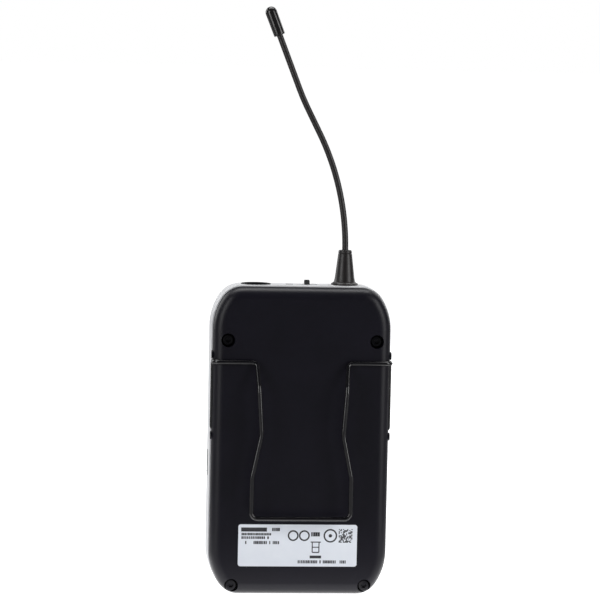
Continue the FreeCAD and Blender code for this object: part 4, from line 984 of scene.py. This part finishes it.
def battery_cells():
    """Sleeved cells: the sleeve turns in over both ends, round a steel can and its raised contact."""
    for side, upright in (("right", True), ("left", False)):
        low, high = limits(f"battery_cell_{side}")
        x, y, _ = middle(f"battery_cell_{side}")
        radius, length = (high.x - low.x) / 2, high.z - low.z
        end = length - 1.0
        turn = UP if upright else Matrix.Rotation(math.pi, 3, "X")
        at = (x, y, low.z if upright else high.z)
        sleeve = Shape().lathe(eased([
            (radius - 0.35, 0.22), (radius - 1.3, 0.22, 0.05), (radius - 1.3, 0.06, 0.05),
            (radius - 0.5, 0.02, 0.4), (radius, 0.5, 0.4), (radius, end - 0.5, 0.4),
            (radius - 0.5, end - 0.02, 0.4), (radius - 1.3, end - 0.06, 0.05),
            (radius - 1.3, end - 0.22, 0.05), (radius - 0.35, end - 0.22)]), at, turn, segments=96)
        sleeve.shown(f"battery_sleeve_{side}", "case", "cell_jacket", stands_for=(f"battery_cell_{side}",))
        can = Shape().lathe(eased([
            (0, 0.0), (radius - 2.6, 0.0, 0.2), (radius - 2.4, 0.14, 0.2), (radius - 0.36, 0.14),
            (radius - 0.36, end - 0.14), (radius - 2.2, end - 0.14, 0.2), (2.75, end - 0.05, 0.2),
            (2.72, end + 0.75, 0.3), (2.3, length, 0.2), (0, length)]), at, turn, segments=96)
        can.shown(f"battery_can_{side}", "case", "nickel")


def foam_pad():
    """A thin strip of foam stuck in the door: crowned, with its edges pulled down to the wall."""
    low, high = limits("door_foam_pad")
    across, up = 40, 32
    size = high - low
    mesh = bmesh.new()
    random.seed(3)
    sheets = []
    for layer in (0, 1):
        rows = []
        for j in range(up + 1):
            row = []
            for i in range(across + 1):
                u, v = i / across * 2 - 1, j / up * 2 - 1
                # corners drawn in to a rounded rectangle
                edge = max(abs(u), abs(v))
                fall = 1 - max(0.0, (edge - 0.88) / 0.12) ** 2
                crown = 0.30 + 0.70 * fall * (1 - 0.10 * (u * u + v * v) / 2) if layer else 0.0
                crown -= random.random() * 0.03 if layer and edge < 0.9 else 0.0
                pinch = 1 - 0.03 * (abs(u * v) ** 6)
                row.append(mesh.verts.new(((low.x + high.x) / 2 + u * pinch * size.x / 2,
                                           low.y + crown * size.y,
                                           (low.z + high.z) / 2 + v * pinch * size.z / 2)))
            rows.append(row)
        sheets.append(rows)
    back, face = sheets
    for j in range(up):
        for i in range(across):
            mesh.faces.new([back[j][i], back[j][i + 1], back[j + 1][i + 1], back[j + 1][i]])
            mesh.faces.new([face[j][i], face[j + 1][i], face[j + 1][i + 1], face[j][i + 1]])

    def rim(rows):
        return (rows[0] + [r[-1] for r in rows[1:]] + rows[-1][-2::-1] + [r[0] for r in rows[-2:0:-1]])

    outer, inner = rim(back), rim(face)
    for n in range(len(outer)):
        m = (n + 1) % len(outer)
        mesh.faces.new([outer[n], outer[m], inner[m], inner[n]])
    shape = Shape()
    shape.mesh.free()
    shape.mesh = mesh
    pad = shape.shown("door_foam_strip", "door", "foam_grey", stands_for=("door_foam_pad",), smooth=80)


# ---------------- carried-over CAD nodes

def coat_frame():
    """Each CAD node that still shows takes the finish of the slot its material is named after."""
    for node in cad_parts.values():
        for holder in node.material_slots:
            slot = holder.material.name.split(".")[0]
            holder.material = finishes[slot]
        node["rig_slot"] = slot


# ---------------- stage

# azimuth and elevation in degrees, then distance, width and height in metres, and power in watts
SOFTBOXES = {
    "Softbox right": (52, 12, 0.95, 0.35, 0.80, 5.6),
    "Softbox left": (-52, 12, 0.95, 0.35, 0.80, 7.0),
    "Softbox top": (180, 76, 0.90, 0.90, 0.40, 9.8),
    "Softbox front right": (132, 20, 1.10, 0.60, 0.80, 4.8),
    "Softbox front left": (-140, 20, 1.10, 0.60, 0.80, 3.4),
}


def soft_box(name, azimuth, elevation, distance, width, height, power, aim=(0, 0, 0.09)):
    """A softbox aimed at the pack. Azimuth 0 is behind the rear face, towards +Y, and 90 is to the right."""
    light = bpy.data.lights.new(name, "AREA")
    light.shape = "RECTANGLE"
    light.size, light.size_y, light.energy = width, height, power
    holder = put(name, light)
    a, e = math.radians(azimuth), math.radians(elevation)
    away = Vector((math.sin(a) * math.cos(e), math.cos(a) * math.cos(e), math.sin(e)))
    holder.location = Vector(aim) + away * distance
    holder.rotation_euler = away.to_track_quat("Z", "Y").to_euler()


def studio():
    for name, box in SOFTBOXES.items():
        soft_box(name, *box)
    backdrop()
    floor()
    bpy.context.scene.view_settings.view_transform = "Standard"


def backdrop():
    """White where it is seen, and a dim even light on everything."""
    world = bpy.data.worlds.new("Studio")
    bpy.context.scene.world = world
    world.use_nodes = True
    world.node_tree.nodes.clear()
    sky = Nodes(world.node_tree, "ShaderNode")
    seen = sky.node("Background", Color=(1, 1, 1, 1))["Background"]
    cast = sky.node("Background", Color=(0.95, 0.97, 1.0, 1), Strength=0.10)["Background"]
    camera_ray = sky.node("LightPath")["Is Camera Ray"]
    sky.node("OutputWorld", Surface=sky.in_order("MixShader", camera_ray, cast, seen))


def floor():
    """Pure white where it is seen, and bright in reflections near the pack's base."""
    bpy.ops.mesh.primitive_plane_add(size=60, location=(0, 0, -0.0001))
    sheet = bpy.context.object
    sheet.name = "studio_floor"
    mix = Finish("pale floor", Base_Color=(0.42, 0.42, 0.425, 1), Roughness=0.9, Specular_IOR_Level=0.1)
    ray = mix.node("LightPath")
    flat = mix.node("Mapping", Vector=mix.place, Scale=(0.4, 1.0, 1.0))["Vector"]
    reach = mix.node("VectorMath", {"operation": "LENGTH"}, Vector=flat)["Value"]
    near = mix.between(reach, 3.0, 0.0, 0.018, 0.055)
    strength = mix.in_order("Math", ray["Is Glossy Ray"], near, ray["Is Camera Ray"], operation="MULTIPLY_ADD")
    glow = mix.node("Emission", Strength=strength)["Emission"]
    lit = mix.in_order("AddShader", mix.shader.outputs[0], glow)
    mix.feed(mix.tree.nodes["Material Output"].inputs["Surface"], lit)
    sheet.data.materials.append(mix.material)


def camera():
    """A long lens looking at the rear face, a little from the right and from above."""
    lens = bpy.data.cameras.new("Camera")
    lens.sensor_width, lens.lens = 36.0, 189.56
    lens.clip_start, lens.clip_end = 0.05, 100.0
    holder = put("Camera", lens)
    yaw, lift, roll = (math.radians(angle) for angle in (5.92, 4.55, 1.21))
    distance = 1.1275
    aim = Vector((0.29, 0.0, 104.59)) * MM
    back = Vector((math.sin(yaw) * math.cos(lift), math.cos(yaw) * math.cos(lift), math.sin(lift)))
    across = Vector((0, 0, 1)).cross(back).normalized()
    above = back.cross(across)
    right = across * math.cos(roll) + above * math.sin(roll)
    up = above * math.cos(roll) - across * math.sin(roll)
    place = Matrix((right, up, back)).transposed().to_4x4()
    place.translation = aim + back * distance
    holder.matrix_world = place
    bpy.context.scene.camera = holder


camera()
studio()
coat_frame()
belt_clip()
all_screws()
rating_label()
antenna()
mic_jack()
switch_lever()
status_light()
front_button("group_button", "group_key", True)
front_button("channel_button", "channel_key", False)
gain_knob()
release_tabs()
battery_springs()
battery_cells()
foam_pad()
